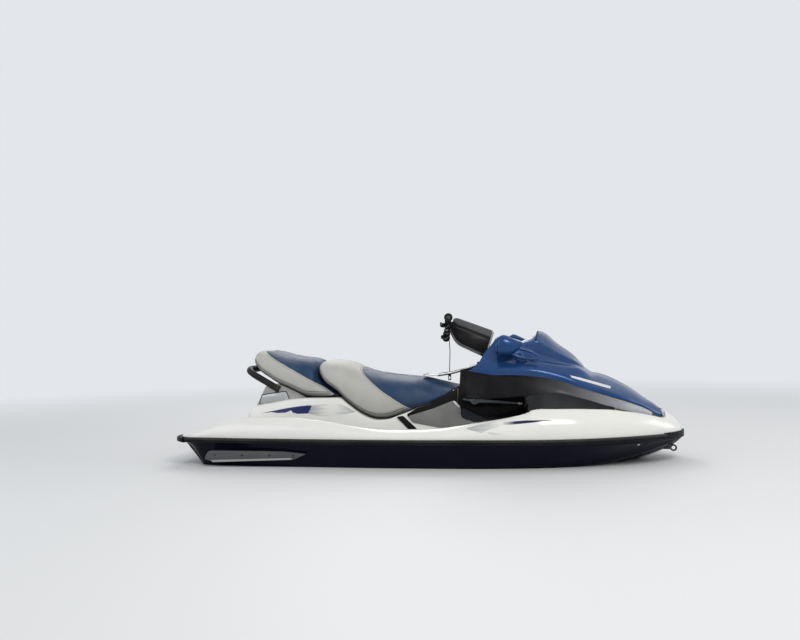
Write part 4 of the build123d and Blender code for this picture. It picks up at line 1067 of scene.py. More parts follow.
deflectorShape = dict(
    # x, base y z, side y z, shoulder y z, crest z
    rows=mm(
        (577, 218, 672, 217, 706, 160, 722, 726), (641, 212, 662, 209, 712, 140, 746, 752),
        (677, 206, 652, 203, 722, 118, 768, 782), (694, 204, 648, 200, 721, 110, 766, 780),
        (720, 200, 640, 194, 698, 102, 752, 769), (795, 186, 612, 176, 652, 90, 690, 704),
        (888, 156, 580, 141, 604, 60, 624, 635), (930, 134, 566, 112, 579, 44, 586, 589),
        (952, 118, 548, 96, 558, 36, 563, 565)),
    radii=(0.012, 0.05),
    rim=mm((677, 196, 730), (679, 150, 751.5), (680.5, 104, 769), (681, 50, 776), (681, 0, 778)),
    well=mm((578.5, 715), (675.5, 754.5), (675.5, 757), (578.5, 717.5)),
    rearCut=mm((500, 600), (500, 950), (686, 950), (677, 756), (577, 716), (565, 600)),
)


def makeDeflector():
    stations = stationsOf(0.577, 0.952, 0.0133, (0.677, 0.947))
    rings = []
    for x, v in zip(stations, rowsAt(deflectorShape["rows"], stations)):
        half = [(x, v[i], v[i + 1]) for i in (0, 2, 4)] + [(x, 0, v[6])]
        rings.append(bothSides(softCorners(half, deflectorShape["radii"], 8)))
    piece = skin("windDeflector", rings)
    cutAway(piece, slab("rimCut", deflectorShape["rearCut"], 0, 0.4))
    roundEdges(piece, 0.0022, 3, 40)
    wear(piece, blue, "hood", ("wind_deflector",))
    side = deflectorShape["rim"]
    route = [(x, -y, z) for x, y, z in side[:-1]] + list(reversed(side))
    rim = tube("deflectorRim", smoothPath(route), 0.005, 0.0036, 12)
    well = slab("deflectorWell", deflectorShape["well"], 0, 0.128)
    addTo([rim, roundEdges(well, 0.0008, 2)], darkInset, "hood")


mirrorShape = dict(
    # x, half width, half height, centre z of the pod; then the loop that carries it
    pod=((0.46, 0.039, 0.041, 0.694), (0.4545, 0.04, 0.042, 0.694), (0.453, 0.042, 0.044, 0.694),
         (0.4545, 0.0445, 0.0465, 0.694), (0.462, 0.0495, 0.0525, 0.697), (0.475, 0.0545, 0.0585, 0.701),
         (0.492, 0.057, 0.0615, 0.7035), (0.515, 0.0552, 0.059, 0.701), (0.538, 0.049, 0.0525, 0.697),
         (0.56, 0.04, 0.042, 0.696), (0.583, 0.026, 0.027, 0.698), (0.597, 0.016, 0.0165, 0.705),
         (0.606, 0.0085, 0.009, 0.71)),
    seam=((0.4655, 0.0512, 0.0543, 0.698), (0.466, 0.0522, 0.0553, 0.698), (0.4672, 0.0526, 0.0557, 0.6985),
          (0.468, 0.052, 0.0551, 0.699)),
    centreY=0.338,
    loop=mm(
        (560, 692), (600, 678), (650, 664), (688, 642), (696, 626), (688, 617), (650, 619), (600, 627),
        (555, 648), (540, 672)),
    foot=mm((575, 318, 640), (600, 306, 612), (620, 296, 588)),
)


def podPart(name, key, y):
    rings = [ringAt((x, y, z), (1, 0, 0), w, h, 36, power=2.25) for x, w, h, z in mirrorShape[key]]
    return skin(name, rings, closed=True)


def makeMirrors():
    for sign, name, node in ((1, "mirrorLeft", "mirror_left"), (-1, "mirrorRight", "mirror_right")):
        y = sign * mirrorShape["centreY"]
        pod = podPart(name, "pod", y)
        around = mirrorShape["loop"] + mirrorShape["loop"][:1]
        loop = smoothPath([(x, y - sign * 0.006, z) for x, z in around], 0.006)[:-1]
        wide = [0.015 - 0.007 * max(0, min(1, (p.x - 0.56) / 0.14)) for p in loop]
        deep = [0.0115 - 0.005 * max(0, min(1, (p.x - 0.56) / 0.14)) for p in loop]
        arm = tube(name, loop, deep, wide, 16, up=(0, 1, 0), closed=True)
        foot = tube(name, smoothPath([(x, sign * v, z) for x, v, z in mirrorShape["foot"]], 0.006), 0.026, 0.011, 20,
                    up=(0, 1, 0))
        addTo([pod, arm, foot], blue, "hood", (node,))
        addTo([podPart(name + "Seam", "seam", y)], darkInset, "hood")


makeDeflector()
makeMirrors()
print("deflector and mirrors made")

panelShape = dict(
    # x, lower edge y z, upper edge y z
    band=mm(
        (275, 392, 392, 342, 552), (450, 404, 398, 357, 526), (640, 416, 414, 356, 527),
        (800, 414, 425, 345, 498), (950, 384, 393, 322, 446), (1100, 318, 342, 272, 394),
        (1240, 238, 303, 206, 342), (1300, 190, 288, 170, 316), (1338, 158, 276.5, 140, 292)),
    trim=mm(
        (640, 470, 318, 414, 412), (720, 460, 339, 414, 421), (800, 446, 340, 412, 422),
        (950, 400, 334, 382, 390), (1080, 338, 322, 326, 348), (1120, 318, 317, 310, 334)),
    bulge=0.009, thick=0.006, lip=0.011,
)


def panelRings(rows, stations, sign, bulge, lip):
    # a moulded panel between its lower and upper edge, with a lip turned in along the bottom
    rings = []
    thick = panelShape["thick"]
    for x, (ly, lz, hy, hz) in zip(stations, rowsAt(rows, stations)):
        low, high = Vector((x, ly, lz)), Vector((x, hy, hz))
        down = (low - high).normalized()
        out = Vector((0, -down.z, down.y))
        width = (low - high).length
        rise = min(bulge, 0.1 * width) if bulge > 0 else bulge
        ring = [high + down * (width * t) + out * (rise * 4 * t * (1 - t))
                for t in (0, 0.05, 0.15, 0.28, 0.42, 0.56, 0.7, 0.82, 0.91, 0.97)]
        ring += [low - out * 0.0015, low + down * 0.001 - out * 0.0045, low - out * lip,
                 low - down * 0.004 - out * lip, low - down * 0.006 - out * (thick + 0.001)]
        ring += [high + down * (width * t) + out * (rise * 4 * t * (1 - t) - thick) for t in (0.6, 0.3, 0.0)]
        rings.append([Vector((p.x, sign * p.y, p.z)) for p in ring])
    return rings


def makePanels():
    for sign, name, node in ((1, "sideBandLeft", "side_panel_left"), (-1, "sideBandRight", "side_panel_right")):
        stations = stationsOf(0.275, 1.338, 0.022)
        band = skin(name, panelRings(panelShape["band"], stations, sign, panelShape["bulge"], panelShape["lip"]),
                    closed=True)
        addTo([band], bandGraphicAndLight, "hull", (node,))
    trims = []
    for sign in (1, -1):
        rings = panelRings(panelShape["trim"], stationsOf(0.64, 1.12, 0.022), sign, -0.003, 0.006)
        trims.append(skin("frontTrims", rings, closed=True))
    addTo(trims, trimPlastic, "hull", ("front_trims",))


makePanels()
print("side bands made")


lidShape = dict(
    line=mm(
        (-27.5, 526.5), (-32, 521.5), (-32.5, 516.5), (-28, 514.5), (-18, 514.2), (60, 520.5), (130, 530),
        (190, 543.5), (245, 560), (290, 575.5), (325, 589.5)),
    half=0.092,
    thick=0.0085,
)


def makeLid():
    line = [Vector((x, 0, z)) for x, z in lidShape["line"]]
    line = smoothPath(line, 0.006)
    rings = []
    for i, p in enumerate(line):
        along = line[min(i + 1, len(line) - 1)] - line[max(i - 1, 0)]
        up = Vector((-along.z, 0, along.x)).normalized()
        half, thick = lidShape["half"], lidShape["thick"] if p.x > -0.02 else 0.0055
        share = max(0.0, (p.x - 0.27) / 0.055)
        half -= 0.03 * share * share
        ring = []
        for y, h in ((half, 0), (half - 0.001, 0.35), (half - 0.004, 0.5), (half * 0.6, 0.62), (half * 0.2, 0.7),
                     (-half * 0.2, 0.7), (-half * 0.6, 0.62), (-half + 0.004, 0.5), (-half + 0.001, 0.35), (-half, 0),
                     (-half + 0.001, -0.35), (-half + 0.004, -0.5), (0, -0.5), (half - 0.004, -0.5),
                     (half - 0.001, -0.35)):
            ring.append(p + Vector((0, y, 0)) + up * (h * thick))
        rings.append(ring)
    lid = skin("gloveBoxLid", rings, closed=True)
    wear(lid, lampWhite, "glove_box_lid", ("glove_box_lid",))
    rim = []
    for sign in (1, -1):
        route = [(x, sign * 0.0905, z - 0.0072) for x, z in lidShape["line"][5:]]
        rim.append(tube("lidSeal", smoothPath(route, 0.01), 0.003, 0.0034, 10, up=(0, 1, 0)))
    inner = [(x, z + 0.0056) for x, z in lidShape["line"][5:10]]
    outline = inner + [(x, z + 0.0009) for x, z in reversed(inner)]
    pad = roundEdges(slab("lidSeal", outline, 0, 0.064), 0.0005, 2)
    addTo(rim + [pad], darkInset, "glove_box_lid")


kneeShape = dict(
    panel=((-0.098, 0.28), (0.06, 0.326), (0.185, 0.375), (0.228, 0.33), (0.229, 0.2745),
           (0.26, 0.2614), (0.305, 0.2438), (0.121, 0.209), (-0.067, 0.243)),
    rim=mm(
        # the rim is a black strip between the panel's top edge and the seat's lower edge: painted shadow, standing in
        # for the shade the seat casts on the panel
        (-104, 292), (-40, 328), (40, 355), (100, 385), (150, 416), (202, 444), (206, 362), (185, 370),
        (60, 321), (-96, 275)),
    corner=((0.2416, 0.3296), (0.3253, 0.2882), (0.3837, 0.2612), (0.353, 0.2473), (0.304, 0.248), (0.262, 0.2665),
            (0.233, 0.2785), (0.232, 0.325)),
    # the chip is a painted highlight: a small white piece on the panel's upper corner near the seat's nose
    highlightChip=mm((188, 372), (206, 353), (225, 333.6), (215, 331), (197, 346), (178, 366)),
    strip=mm((-168, 275), (-129, 283), (-36, 203), (-90, 202)),
    top=0.302,
    lean=0.25,
    foot=0.183,
)


def kneeSide(outline, sign, deep, name):
    verts = []
    for inward in (0, deep):
        for x, z in outline:
            y = kneeShape["top"] - (z - kneeShape["foot"]) * kneeShape["lean"] - inward
            verts.append((x, sign * y, z))
    return roundEdges(solidFrom(name, verts, prismFaces(len(outline))), 0.003, 3)


def makeKneePanels():
    panels, strips, corners, highlightChips = [], [], [], []
    for sign in (1, -1):
        panels.append(kneeSide(softOutline(kneeShape["panel"], 0.016), sign, 0.012, "kneePanels"))
        strips.append(kneeSide(softOutline(kneeShape["strip"], 0.008), sign, 0.01, "kneeStripsAndShadowRims"))
        # white chip: painted highlight on the upper corner of each knee panel
        highlightChips.append(kneeSide(kneeShape["highlightChip"], sign * 1.007, 0.008, "kneeHighlightChips"))
        # black rim under the seat's edge: painted shadow of the seat
        strips.append(kneeSide(kneeShape["rim"], sign * 0.996, 0.01, "kneeStripsAndShadowRims"))
        corners.append(kneeSide(softOutline(kneeShape["corner"], 0.008), sign * 1.004, 0.012, "kneeCorners"))
    addTo(panels, kneeGrey, "hull", ("seat_base_panels",))
    addTo(strips, blackPlastic, "hull")
    addTo(corners, cornerPlastic, "hull")
    addTo(highlightChips, lampWhite, "hull")


toeShadeShape = dict(
    span=(0.25, 0.652),
    foot=0.28,
)


def makeToeShadeSheets():
    # black sheet on the rising front end of each footwell: painted shade, where the footwell runs in under the side
    # band
    shadeSheets = []
    stations = stationsOf(*toeShadeShape["span"], 0.012, (0.56, 0.62, 0.645))
    for sign in (1, -1):
        rings = []
        for x, v in zip(stations, rowsAt(upperDeck["rows"], stations)):
            face = softCorners([(x, v[2] - 0.003, v[3] - 0.008), (x, v[4] - 0.004, v[5] + 0.004),
                                (x, toeShadeShape["foot"], v[7] + 0.004)], (0.026,), 6)
            ring = face + [p - Vector((0, 0, 0.0022)) for p in reversed(face)]
            rings.append([Vector((p.x, sign * p.y, p.z)) for p in ring])
        shadeSheets.append(skin("toeShadeSheets", rings, closed=True))
    addTo(shadeSheets, blackPlastic, "hull")


leverShape = dict(
    hub=(0.307, 0.371),
    hubRadius=0.026,
    sides=(-0.189, -0.232),
    arm=mm(
        (318, 368.5, 14.5), (345, 366, 11.5), (400, 364, 9), (470, 359.5, 7.4), (545, 354, 6.2),
        (578, 351.2, 6), (586, 350.6, 4)),
    fin=mm((299, 371, 16), (276, 375, 10.5), (252, 377, 5.8), (232, 377.5, 2)),
    tip=mm((566, 352.2, 5), (568, 352, 7.4), (582, 350.9, 7.2), (590, 350.3, 4.5)),
)


def makeShiftLever():
    x, z = leverShape["hub"]
    near, far = leverShape["sides"]
    r = leverShape["hubRadius"]
    hub = []
    for y, share in ((near, 0.9), (near - 0.002, 0.98), (far + 0.004, 1.0), (far + 0.001, 0.97), (far, 0.9),
                     (far, 0.66), (far + 0.003, 0.62), (far + 0.0035, 0.4), (far + 0.0005, 0.36),
                     (far - 0.001, 0.25)):
        hub.append(ringAt((x, y, z), (0, -1, 0), r * share, r * share, 32))
    pieces = [skin("shiftLever", hub, closed=True)]
    for key in ("arm", "fin"):
        rings = [ringAt((px, far + 0.007, pz), (1, 0, 0), 0.0052 if h > 0.004 else 0.002, h, 20, power=2.8)
                 for px, pz, h in leverShape[key]]
        pieces.append(skin("shiftLever", rings, closed=True))
    addTo(pieces, leverSatin, "hull", ("shift_lever",))
    tip = [ringAt((px, far + 0.007, pz), (1, 0, 0), 0.0064, h, 20, power=2.6) for px, pz, h in leverShape["tip"]]
    addTo([skin("leverTip", tip, closed=True)], brightAlloy, "hull")


supportShape = dict(
    outline=mm(
        (-1108, 331), (-1036, 470), (-950, 476), (-860, 440), (-775, 396), (-752, 372), (-820, 355),
        (-980, 335)),
    half=0.203,
    badge=mm((-1080, 350), (-1063, 406), (-903, 429), (-878, 373)),
    badgeFrame=mm((-1086, 345), (-1067, 412), (-899, 435), (-871, 368)),
    screws=((-1.086, 0.338), (-0.788, 0.385), (-0.963, 0.462)),
)


def makeSupport():
    body = slab("rearSupport", softOutline(supportShape["outline"], 0.018), 0, supportShape["half"])
    roundEdges(body, 0.01, 5)
    wear(body, greyPlastic, "hull", ("rear_support",))
    plates, frames = [], []
    for sign in (1, -1):
        y = sign * (supportShape["half"] + 0.0006)
        plates.append(roundEdges(slab("badgePlates", softOutline(supportShape["badge"], 0.01), y, 0.0012), 0.0006, 2))
        frame = slab("badgeFrames", softOutline(supportShape["badgeFrame"], 0.012), y - sign * 0.0008, 0.001)
        frames.append(roundEdges(frame, 0.0004, 2))
        for x, z in supportShape["screws"]:
            place = (x, sign * (supportShape["half"] - 0.0005), z)
            frames.append(screwHead("badgeFrames", place, (0, sign, 0), 0.006, 0.002))
    addTo(plates, bareBadge, "hull")
    addTo(frames, trimPlastic, "hull")


handleShape = dict(
    ends=((-0.946, 0.2008, 0.4405), (-1.178, 0.19, 0.57)),
    wide=0.019,
    high=0.0205,
    bend=0.1,
)


def makeHandle():
    (ax, ay, az), (bx, by, bz) = handleShape["ends"]
    corners = [(ax, ay, az), (bx, by, bz), (bx, -by, bz), (ax, -ay, az)]
    bend = handleShape["bend"]
    line = softCorners(corners, (bend, bend), 16)
    path = [line[0], line[0].lerp(line[1], 0.5)] + line[1:-1] + [line[-2].lerp(line[-1], 0.5), line[-1]]
    normal = Vector((bz - az, 0, ax - bx)).normalized()
    loop = tube("grabHandle", path, handleShape["wide"], handleShape["high"], 28, up=normal, power=2.3)
    ribs = []
    for k in range(26):
        y = -0.1 + 0.2 * k / 25
        ends = [(bx, y - 0.0016, bz), (bx, y + 0.0016, bz)]
        ribs.append(tube("grabHandle", ends, 0.0202, 0.0217, 28, up=normal, power=2.3))
    ends = []
    along = Vector((bx - ax, by - ay, bz - az)).normalized()
    for sign in (1, -1):
        foot = Vector((ax, sign * ay, az))
        way = Vector((along.x, sign * along.y, along.z))
        ends.append(tube("grabHandle", [foot, foot + way * 0.004, foot + way * 0.018, foot + way * 0.022],
                         [0.0225, 0.024, 0.0225, 0.019], [0.0235, 0.025, 0.0235, 0.0205], 28, up=normal, power=2.3))
    addTo([loop] + ribs + ends, handleRubber, "hull", ("grab_handle",))


makeLid()
makeKneePanels()
makeToeShadeSheets()
makeShiftLever()
makeSupport()
makeHandle()
print("small mouldings made")

seatShape = dict(
    # x, bottom z, top z, half width; then side lines as x, z
    rear=dict(
        name="rearSeat", node="rear_seat",
        rows=mm(
            (-1124, 612, 676, 168), (-1119, 603, 687, 182), (-1111, 592, 692, 190), (-1098, 578, 695.5, 198),
            (-1082, 560, 696.5, 205), (-1060, 541, 695.5, 211), (-1020, 517, 690, 216), (-976, 489, 678, 224),
            (-920, 464, 661, 230), (-861, 441, 650, 236), (-815, 419, 647, 240), (-767, 399, 641, 244),
            (-735, 394, 628, 246), (-716, 393.5, 607, 247), (-706, 393.5, 575, 247), (-695, 393.5, 535, 247),
            (-670, 393.5, 495, 247), (-635, 393.5, 464, 246), (-600, 395, 441, 244), (-575, 400, 424, 238),
            (-562, 405, 414, 230)),
        colour=((-1.2, 0.76), (-1.118, 0.7), (-1.066, 0.6865), (-0.9735, 0.631), (-0.8195, 0.5506), (-0.6937, 0.484),
                (-0.593, 0.422), (-0.55, 0.395)),
        nose=(1.0, 2.0), seamUp=0.036, edgeUp=0.006, middle=0.3, topPower=2.7, bottomPower=5.0, dip=0.01,
        creaseDeep=0.0,
    ),
    front=dict(
        name="frontSeat", node="front_seat",
        rows=mm(
            (-692.5, 560, 596, 150), (-689, 549, 608, 172), (-682, 537, 616, 190), (-670, 521, 622, 207),
            (-650, 493, 626, 222), (-620, 466, 626, 234), (-586, 446, 623, 243), (-557, 425, 620, 248),
            (-528, 398, 615, 252), (-490, 362, 600, 256), (-450, 330, 581, 258), (-400, 297, 563, 260),
            (-350, 273, 547, 261), (-300, 260, 535, 262), (-245, 260, 526, 262), (-190, 274, 519, 260),
            (-120, 300, 512, 256), (-40, 328, 506, 250), (40, 353, 492, 240), (100, 383, 476, 228),
            (150, 414, 462, 214), (185, 436, 453, 200), (201, 443, 448.5, 190)),
        colour=mm(
            (-470, 680), (-459, 616), (-446, 578), (-369, 509), (-273, 434), (-177, 371), (-77, 310),
            (-30, 280)),
        nose=(-0.06, 0.04), seamUp=0.03, edgeUp=0.006, middle=0.34, topPower=2.5, bottomPower=5.5, dip=0.004,
        crease=((-0.548, 0.6), (-0.52, 0.52), (-0.5, 0.44)), creaseDeep=0.0022,
    ),
    voxel=0.0085, inset=0.002, pressure=4.0, cap=0.007, frames=20, stitch=0.0085, thread=0.0006,
    noseLow=0.09, noseRound=0.9,
)


def seatForm(shape):
    # closed form of one seat, a little smaller than it ends up
    rows = shape["rows"]
    stations = stationsOf(rows[0][0], rows[-1][0], 0.012, [r[0] for r in rows])
    rings = []
    for x, (low, top, half) in zip(stations, rowsAt(rows, stations)):
        low, top, half = low + seatShape["inset"] * 0.3, top - seatShape["inset"], half - seatShape["inset"]
        # the nose is rounder, which leaves room for the lanyard clip
        nose = float(np.interp(x, shape["nose"], (0, 1)))
        middle = low + (shape["middle"] - seatShape["noseLow"] * nose) * (top - low)
        ring = []
        for k in range(72):
            a = 2 * pi * k / 72
            c, s = cos(a), sin(a)
            power = shape["topPower"] - seatShape["noseRound"] * nose if s > 0 else shape["bottomPower"]
            y = half * abs(c) ** (2 / power) * (1 if c > 0 else -1)
            reach = (top - middle) if s > 0 else (middle - low)
            z = middle + reach * abs(s) ** (2 / power) * (1 if s > 0 else -1)
            if s > 0:
                z -= shape["dip"] * max(0, 1 - (y / (0.55 * half)) ** 2) ** 2 * min(1, reach / 0.1)
            ring.append(Vector((x, y, z)))
        rings.append(ring)
    piece = skin(shape["name"], rings, closed=True)
    remesh = piece.modifiers.new("even", "REMESH")
    remesh.mode = "VOXEL"
    remesh.voxel_size = seatShape["voxel"]
    soften = piece.modifiers.new("soften", "SMOOTH")
    soften.factor, soften.iterations = 0.5, 5
    return applyModifiers(piece)


def seatLines(piece, shape):
    # for each vertex: its side of the colour line, and its height over the lower seam and edge
    xs = [r[0] for r in shape["rows"]]
    lows = [r[1] for r in shape["rows"]]
    places = [v.co for v in piece.data.vertices]
    height = [p.z - float(np.interp(p.x, xs, lows)) for p in places]
    tone = [sideOf(shape["colour"], p.x, p.z) for p in places]
    return tone, [h - shape["seamUp"] for h in height], [h - shape["edgeUp"] for h in height]


def swell(piece, shape):
    # the foam pushes its cover out between the seams
    tone, seam, edge = seatLines(piece, shape)
    pins = piece.vertex_groups.new(name="pins")
    for i in range(len(tone)):
        near = min(abs(tone[i]), abs(seam[i]) if tone[i] < 0 else 1)
        hold = max(0.0, 1 - near / 0.012)
        if edge[i] < 0.004:
            hold = 1.0
        if hold > 0:
            pins.add([i], hold, "REPLACE")
    before = [v.co.copy() for v in piece.data.vertices]
    cloth = piece.modifiers.new("cloth", "CLOTH")
    settings = cloth.settings
    settings.vertex_group_mass = "pins"
    settings.use_pressure = True
    settings.uniform_pressure_force = seatShape["pressure"]
    settings.effector_weights.gravity = 0
    settings.tension_stiffness = settings.compression_stiffness = 25
    settings.bending_stiffness = 2.0
    settings.quality = 5
    cloth.collision_settings.use_collision = False
    scene = bpy.context.scene
    for number in range(1, seatShape["frames"] + 1):
        scene.frame_set(number)
    depsgraph = bpy.context.evaluated_depsgraph_get()
    made = bpy.data.meshes.new_from_object(piece.evaluated_get(depsgraph))
    after = [v.co.copy() for v in made.vertices]
    piece.modifiers.remove(cloth)
    bpy.data.meshes.remove(made)
    piece.vertex_groups.clear()
    for vertex, a, b in zip(piece.data.vertices, before, after):
        move = b - a
        if move.length > seatShape["cap"]:
            move = move.normalized() * seatShape["cap"]
        vertex.co = a + move
    scene.frame_set(1)
    return piece


def pressAlong(piece, path, deep, wide):
    # pulls the cover in along a line, by its normals
    tree = KDTree(len(path))
    for i, p in enumerate(path):
        tree.insert(p, i)
    tree.balance()
    normals = [v.normal.copy() for v in piece.data.vertices]
    for vertex, normal in zip(piece.data.vertices, normals):
        found, index, distance = tree.find(vertex.co)
        if distance < 3 * wide:
            vertex.co -= normal * deep * np.exp(-(distance / wide) ** 2)


def onSurface(tree, point, lift=0.0):
    found, normal, index, distance = tree.find_nearest(point)
    return found + normal * lift, normal


def sewSeam(name, tree, path, offset):
    # a row of short threads beside a seam
    pieces = []
    points = evenPath(path, seatShape["stitch"])
    for a, b in zip(points[:-1], points[1:]):
        along = (b - a).normalized()
        middle, normal = onSurface(tree, (a + b) / 2)
        place, normal = onSurface(tree, middle + along.cross(normal).normalized() * offset, seatShape["thread"] * 0.5)
        half, r = along * seatShape["stitch"] * 0.31, seatShape["thread"]
        lift = normal * r * 0.6
        route = [place - half, place - half * 0.7 + lift, place + half * 0.7 + lift, place + half]
        pieces.append(tube(name, route, r, count=6, up=normal))
    return pieces


def isSilver(shape, point):
    return sideOf(shape["colour"], point.x, point.z) < -0.004


def pullSeams(piece, shape, colourPath, seamPath):
    pressAlong(piece, evenPath(colourPath, 0.003), 0.0035, 0.006)
    pressAlong(piece, evenPath([p for p in seamPath if isSilver(shape, p)], 0.003), 0.003, 0.005)
    if shape["creaseDeep"]:
        tree = treeOf(piece)
        crease = evenPath([Vector((x, 0, z)) for x, z in shape["crease"]], 0.004)
        for sign in (1, -1):
            hits = [tree.ray_cast(Vector((p.x, sign * 1.0, p.z)), Vector((0, -sign, 0)))[0] for p in crease]
            pressAlong(piece, [hit for hit in hits if hit is not None], shape["creaseDeep"], 0.01)


def trimSeat(tree, shape, colourPath, seamPath, edgePath):
    # piping on the colour line, stitching, grooves along the skirt and the pan's edge
    name = shape["name"]

    def lay(label, path, lift, wide, high, count, near):
        line = [onSurface(tree, p, lift)[0] for p in evenPath(path, 0.006)]
        return tube(name + label, line, wide, high, count, closed=(line[0] - line[-1]).length < near)

    addTo([lay("Piping", colourPath, 0.0006, 0.0024, None, 8, 0.02)], pipingVinyl, "hull")
    threads, groove, runs = [], [], [[]]
    for offset in (0.0085, -0.0085):
        threads += sewSeam(name + "Thread", tree, colourPath, offset)
    for p in evenPath(seamPath, 0.005):
        if isSilver(shape, p):
            runs[-1].append(p)
        elif runs[-1]:
            runs.append([])
    for run in runs:
        if len(run) > 6:
            groove.append(tube(name + "Groove", [onSurface(tree, p, 0.0002)[0] for p in run], 0.0016, count=6))
            threads += sewSeam(name + "Thread", tree, run, 0.006)
    addTo(groove, pipingDark, "hull")
    addTo(threads, threadMatter, "hull")
    addTo([lay("Pan", edgePath, -0.0015, 0.0034, 0.0044, 10, 0.03)], blackPlastic, "hull")


def makeSeat(shape):
    piece = seatForm(shape)
    swell(piece, shape)
    finer = piece.modifiers.new("finer", "SUBSURF")
    finer.levels = finer.render_levels = 1
    applyModifiers(piece)
    colourPath, seamPath, edgePath = (seamPoints(piece, values)[0] for values in seatLines(piece, shape))
    pullSeams(piece, shape, colourPath, seamPath)
    tone, seam, edge = seatLines(piece, shape)
    keepTone(piece, tone)
    # the skirt value marks the strip below the lower seam, which the seat finish darkens as painted shade
    keepTone(piece, [min(-s, -t) for s, t in zip(seam, tone)], "skirt")
    tidyMesh(piece, 60)
    wear(piece, seatVinyl, "hull", (shape["node"],))
    trimSeat(treeOf(piece), shape, colourPath, seamPath, edgePath)
    return piece


makeSeat(seatShape["rear"])
print("rear seat made")
frontSeat = makeSeat(seatShape["front"])
print("front seat made")

# handlebar, drawn straight and then turned to its angle at rest
steerShape = dict(
    pivot=(0.33, 0, 0.66), axis=(-0.70711, 0, 0.70711), turn=15.0,
    cover=mm((352, 628), (398, 762), (236, 822), (150, 850), (118, 820), (166, 716)),
    coverRound=(0.014, 0.018, 0.06, 0.026, 0.024, 0.045), coverHalf=0.066,
    coverPanel=mm((338, 652), (364, 722), (326, 742), (232, 780), (168, 806), (152, 798), (186, 732)),
    coverScrews=mm((348, 716), (338, 672), (190, 750), (172, 796)),
    pad=mm(
        (395.5, 765.5), (385, 784.5), (240, 839), (172, 863), (156, 861), (146, 850), (168, 822), (236, 795),
        (330, 756), (386, 734)),
    padRound=(0.004, 0.008, 0.06, 0.014, 0.008, 0.008, 0.015, 0.03, 0.03, 0.012),
    padRib=mm((362, 792.5), (300, 816), (240, 837.8), (184, 857.5)),
    padStrip=mm((402, 764), (390, 785), (385, 785.5), (390, 762), (359, 670), (369, 666)),
    padHalf=0.0686, bar=(0.112, 0.808), barHalf=0.352, gripLength=0.118, gripRadius=0.0165, ribs=13,
    throttleY=-0.21, switchY=0.206, barRadius=0.011,
    plug=mm((115, 10.8), (116.2, 10.4), (117.2, 8), (117.6, 4)),
    grip=mm(
        (106, 16.5), (108.5, 21.5), (110, 24.5), (112.5, 25.5), (115, 25), (116.8, 22.5), (117.6, 18),
        (117, 13), (115, 11), (114.8, 3)),
    lever=((-0.034, 0.01, -0.024, 0.0075), (-0.041, 0.0, -0.0255, 0.008), (-0.0455, -0.026, -0.0265, 0.0072),
           (-0.0465, -0.056, -0.0268, 0.007), (-0.0455, -0.08, -0.0265, 0.0082), (-0.043, -0.092, -0.0258, 0.0078),
           (-0.0415, -0.0965, -0.0255, 0.004)),
    boot=(-0.076, -0.026), bootRadius=0.029, folds=5,
)


def turnBar(piece):
    place = Vector(steerShape["pivot"])
    turn = Matrix.Rotation(radians(steerShape["turn"]), 4, Vector(steerShape["axis"]))
    piece.data.transform(Matrix.Translation(place) @ turn @ Matrix.Translation(-place))
    return piece


def onBar(y, dx=0.0, dz=0.0):
    return (steerShape["bar"][0] + dx, y, steerShape["bar"][1] + dz)


def roundOnBar(name, rows, sign=1, count=36):
    # turned shape round the bar: y and radius rows
    return skin(name, [ringAt(onBar(sign * y), (0, sign, 0), r, r, count) for y, r in rows], closed=True)


def onHandlebar(pieces, matter, replaces=()):
    return addTo([turnBar(piece) for piece in pieces], matter, "handlebar", replaces)


def makeGrips():
    inner = steerShape["barHalf"] - steerShape["gripLength"]
    r = steerShape["gripRadius"]
    rows = [(0.0, 0.013), (0.0004, 0.0185), (0.0015, 0.02), (0.005, 0.02), (0.0066, 0.019), (0.007, r)]
    for k in range(steerShape["ribs"]):
        y = 0.01 + 0.0072 * k
        rows += [(y, r), (y + 0.001, r + 0.0017), (y + 0.0036, r + 0.0017), (y + 0.0046, r)]
    rows += steerShape["grip"]
    grips = [roundOnBar("handlebarGrips", [(inner + y, radius) for y, radius in rows], sign) for sign in (1, -1)]
    onHandlebar(grips, gripRubber, ("handlebar_grips",))
    rows = [(inner + y, radius) for y, radius in steerShape["plug"]]
    onHandlebar([roundOnBar("gripPlugs", rows, sign, 24) for sign in (1, -1)], blackPlastic)


def clampRows(middle, half, radius):
    return [(middle - half, radius - 0.006), (middle - half, radius - 0.0015), (middle - half + 0.0015, radius),
            (middle - 0.0006, radius), (middle - 0.0004, radius - 0.001), (middle + 0.0004, radius - 0.001),
            (middle + 0.0006, radius), (middle + half - 0.0015, radius), (middle + half, radius - 0.0015),
            (middle + half, radius - 0.006)]


def makeThrottle():
    y = steerShape["throttleY"]
    clamp = roundOnBar("throttleLever", clampRows(y, 0.0165, 0.0195))
    body = block("throttleLever", onBar(y - 0.0135, -0.0385, -0.0335), onBar(y + 0.0135, -0.002, -0.0085))
    roundEdges(body, 0.0045, 4)
    rings = []
    route = [Vector(onBar(y + dy, dx, dz)) for dx, dy, dz, h in steerShape["lever"]]
    for i, (p, row) in enumerate(zip(route, steerShape["lever"])):
        along = route[min(i + 1, len(route) - 1)] - route[max(i - 1, 0)]
        rings.append(ringAt(p, along, 0.0032, row[3], 24, power=2.6))
    lever = skin("throttleLever", rings, closed=True)
    onHandlebar([clamp, body, lever], blackPlastic, ("throttle_lever",))
    heads = [screwHead("throttleScrews", onBar(y + s * 0.009, -0.02, -0.0332), (0, 0, -1), 0.003, 0.0015)
             for s in (1, -1)]
    heads.append(screwHead("throttleScrews", onBar(y + 0.004, -0.0445, -0.0255), (-1, 0, 0), 0.0035, 0.0015))
    onHandlebar(heads, stainless)


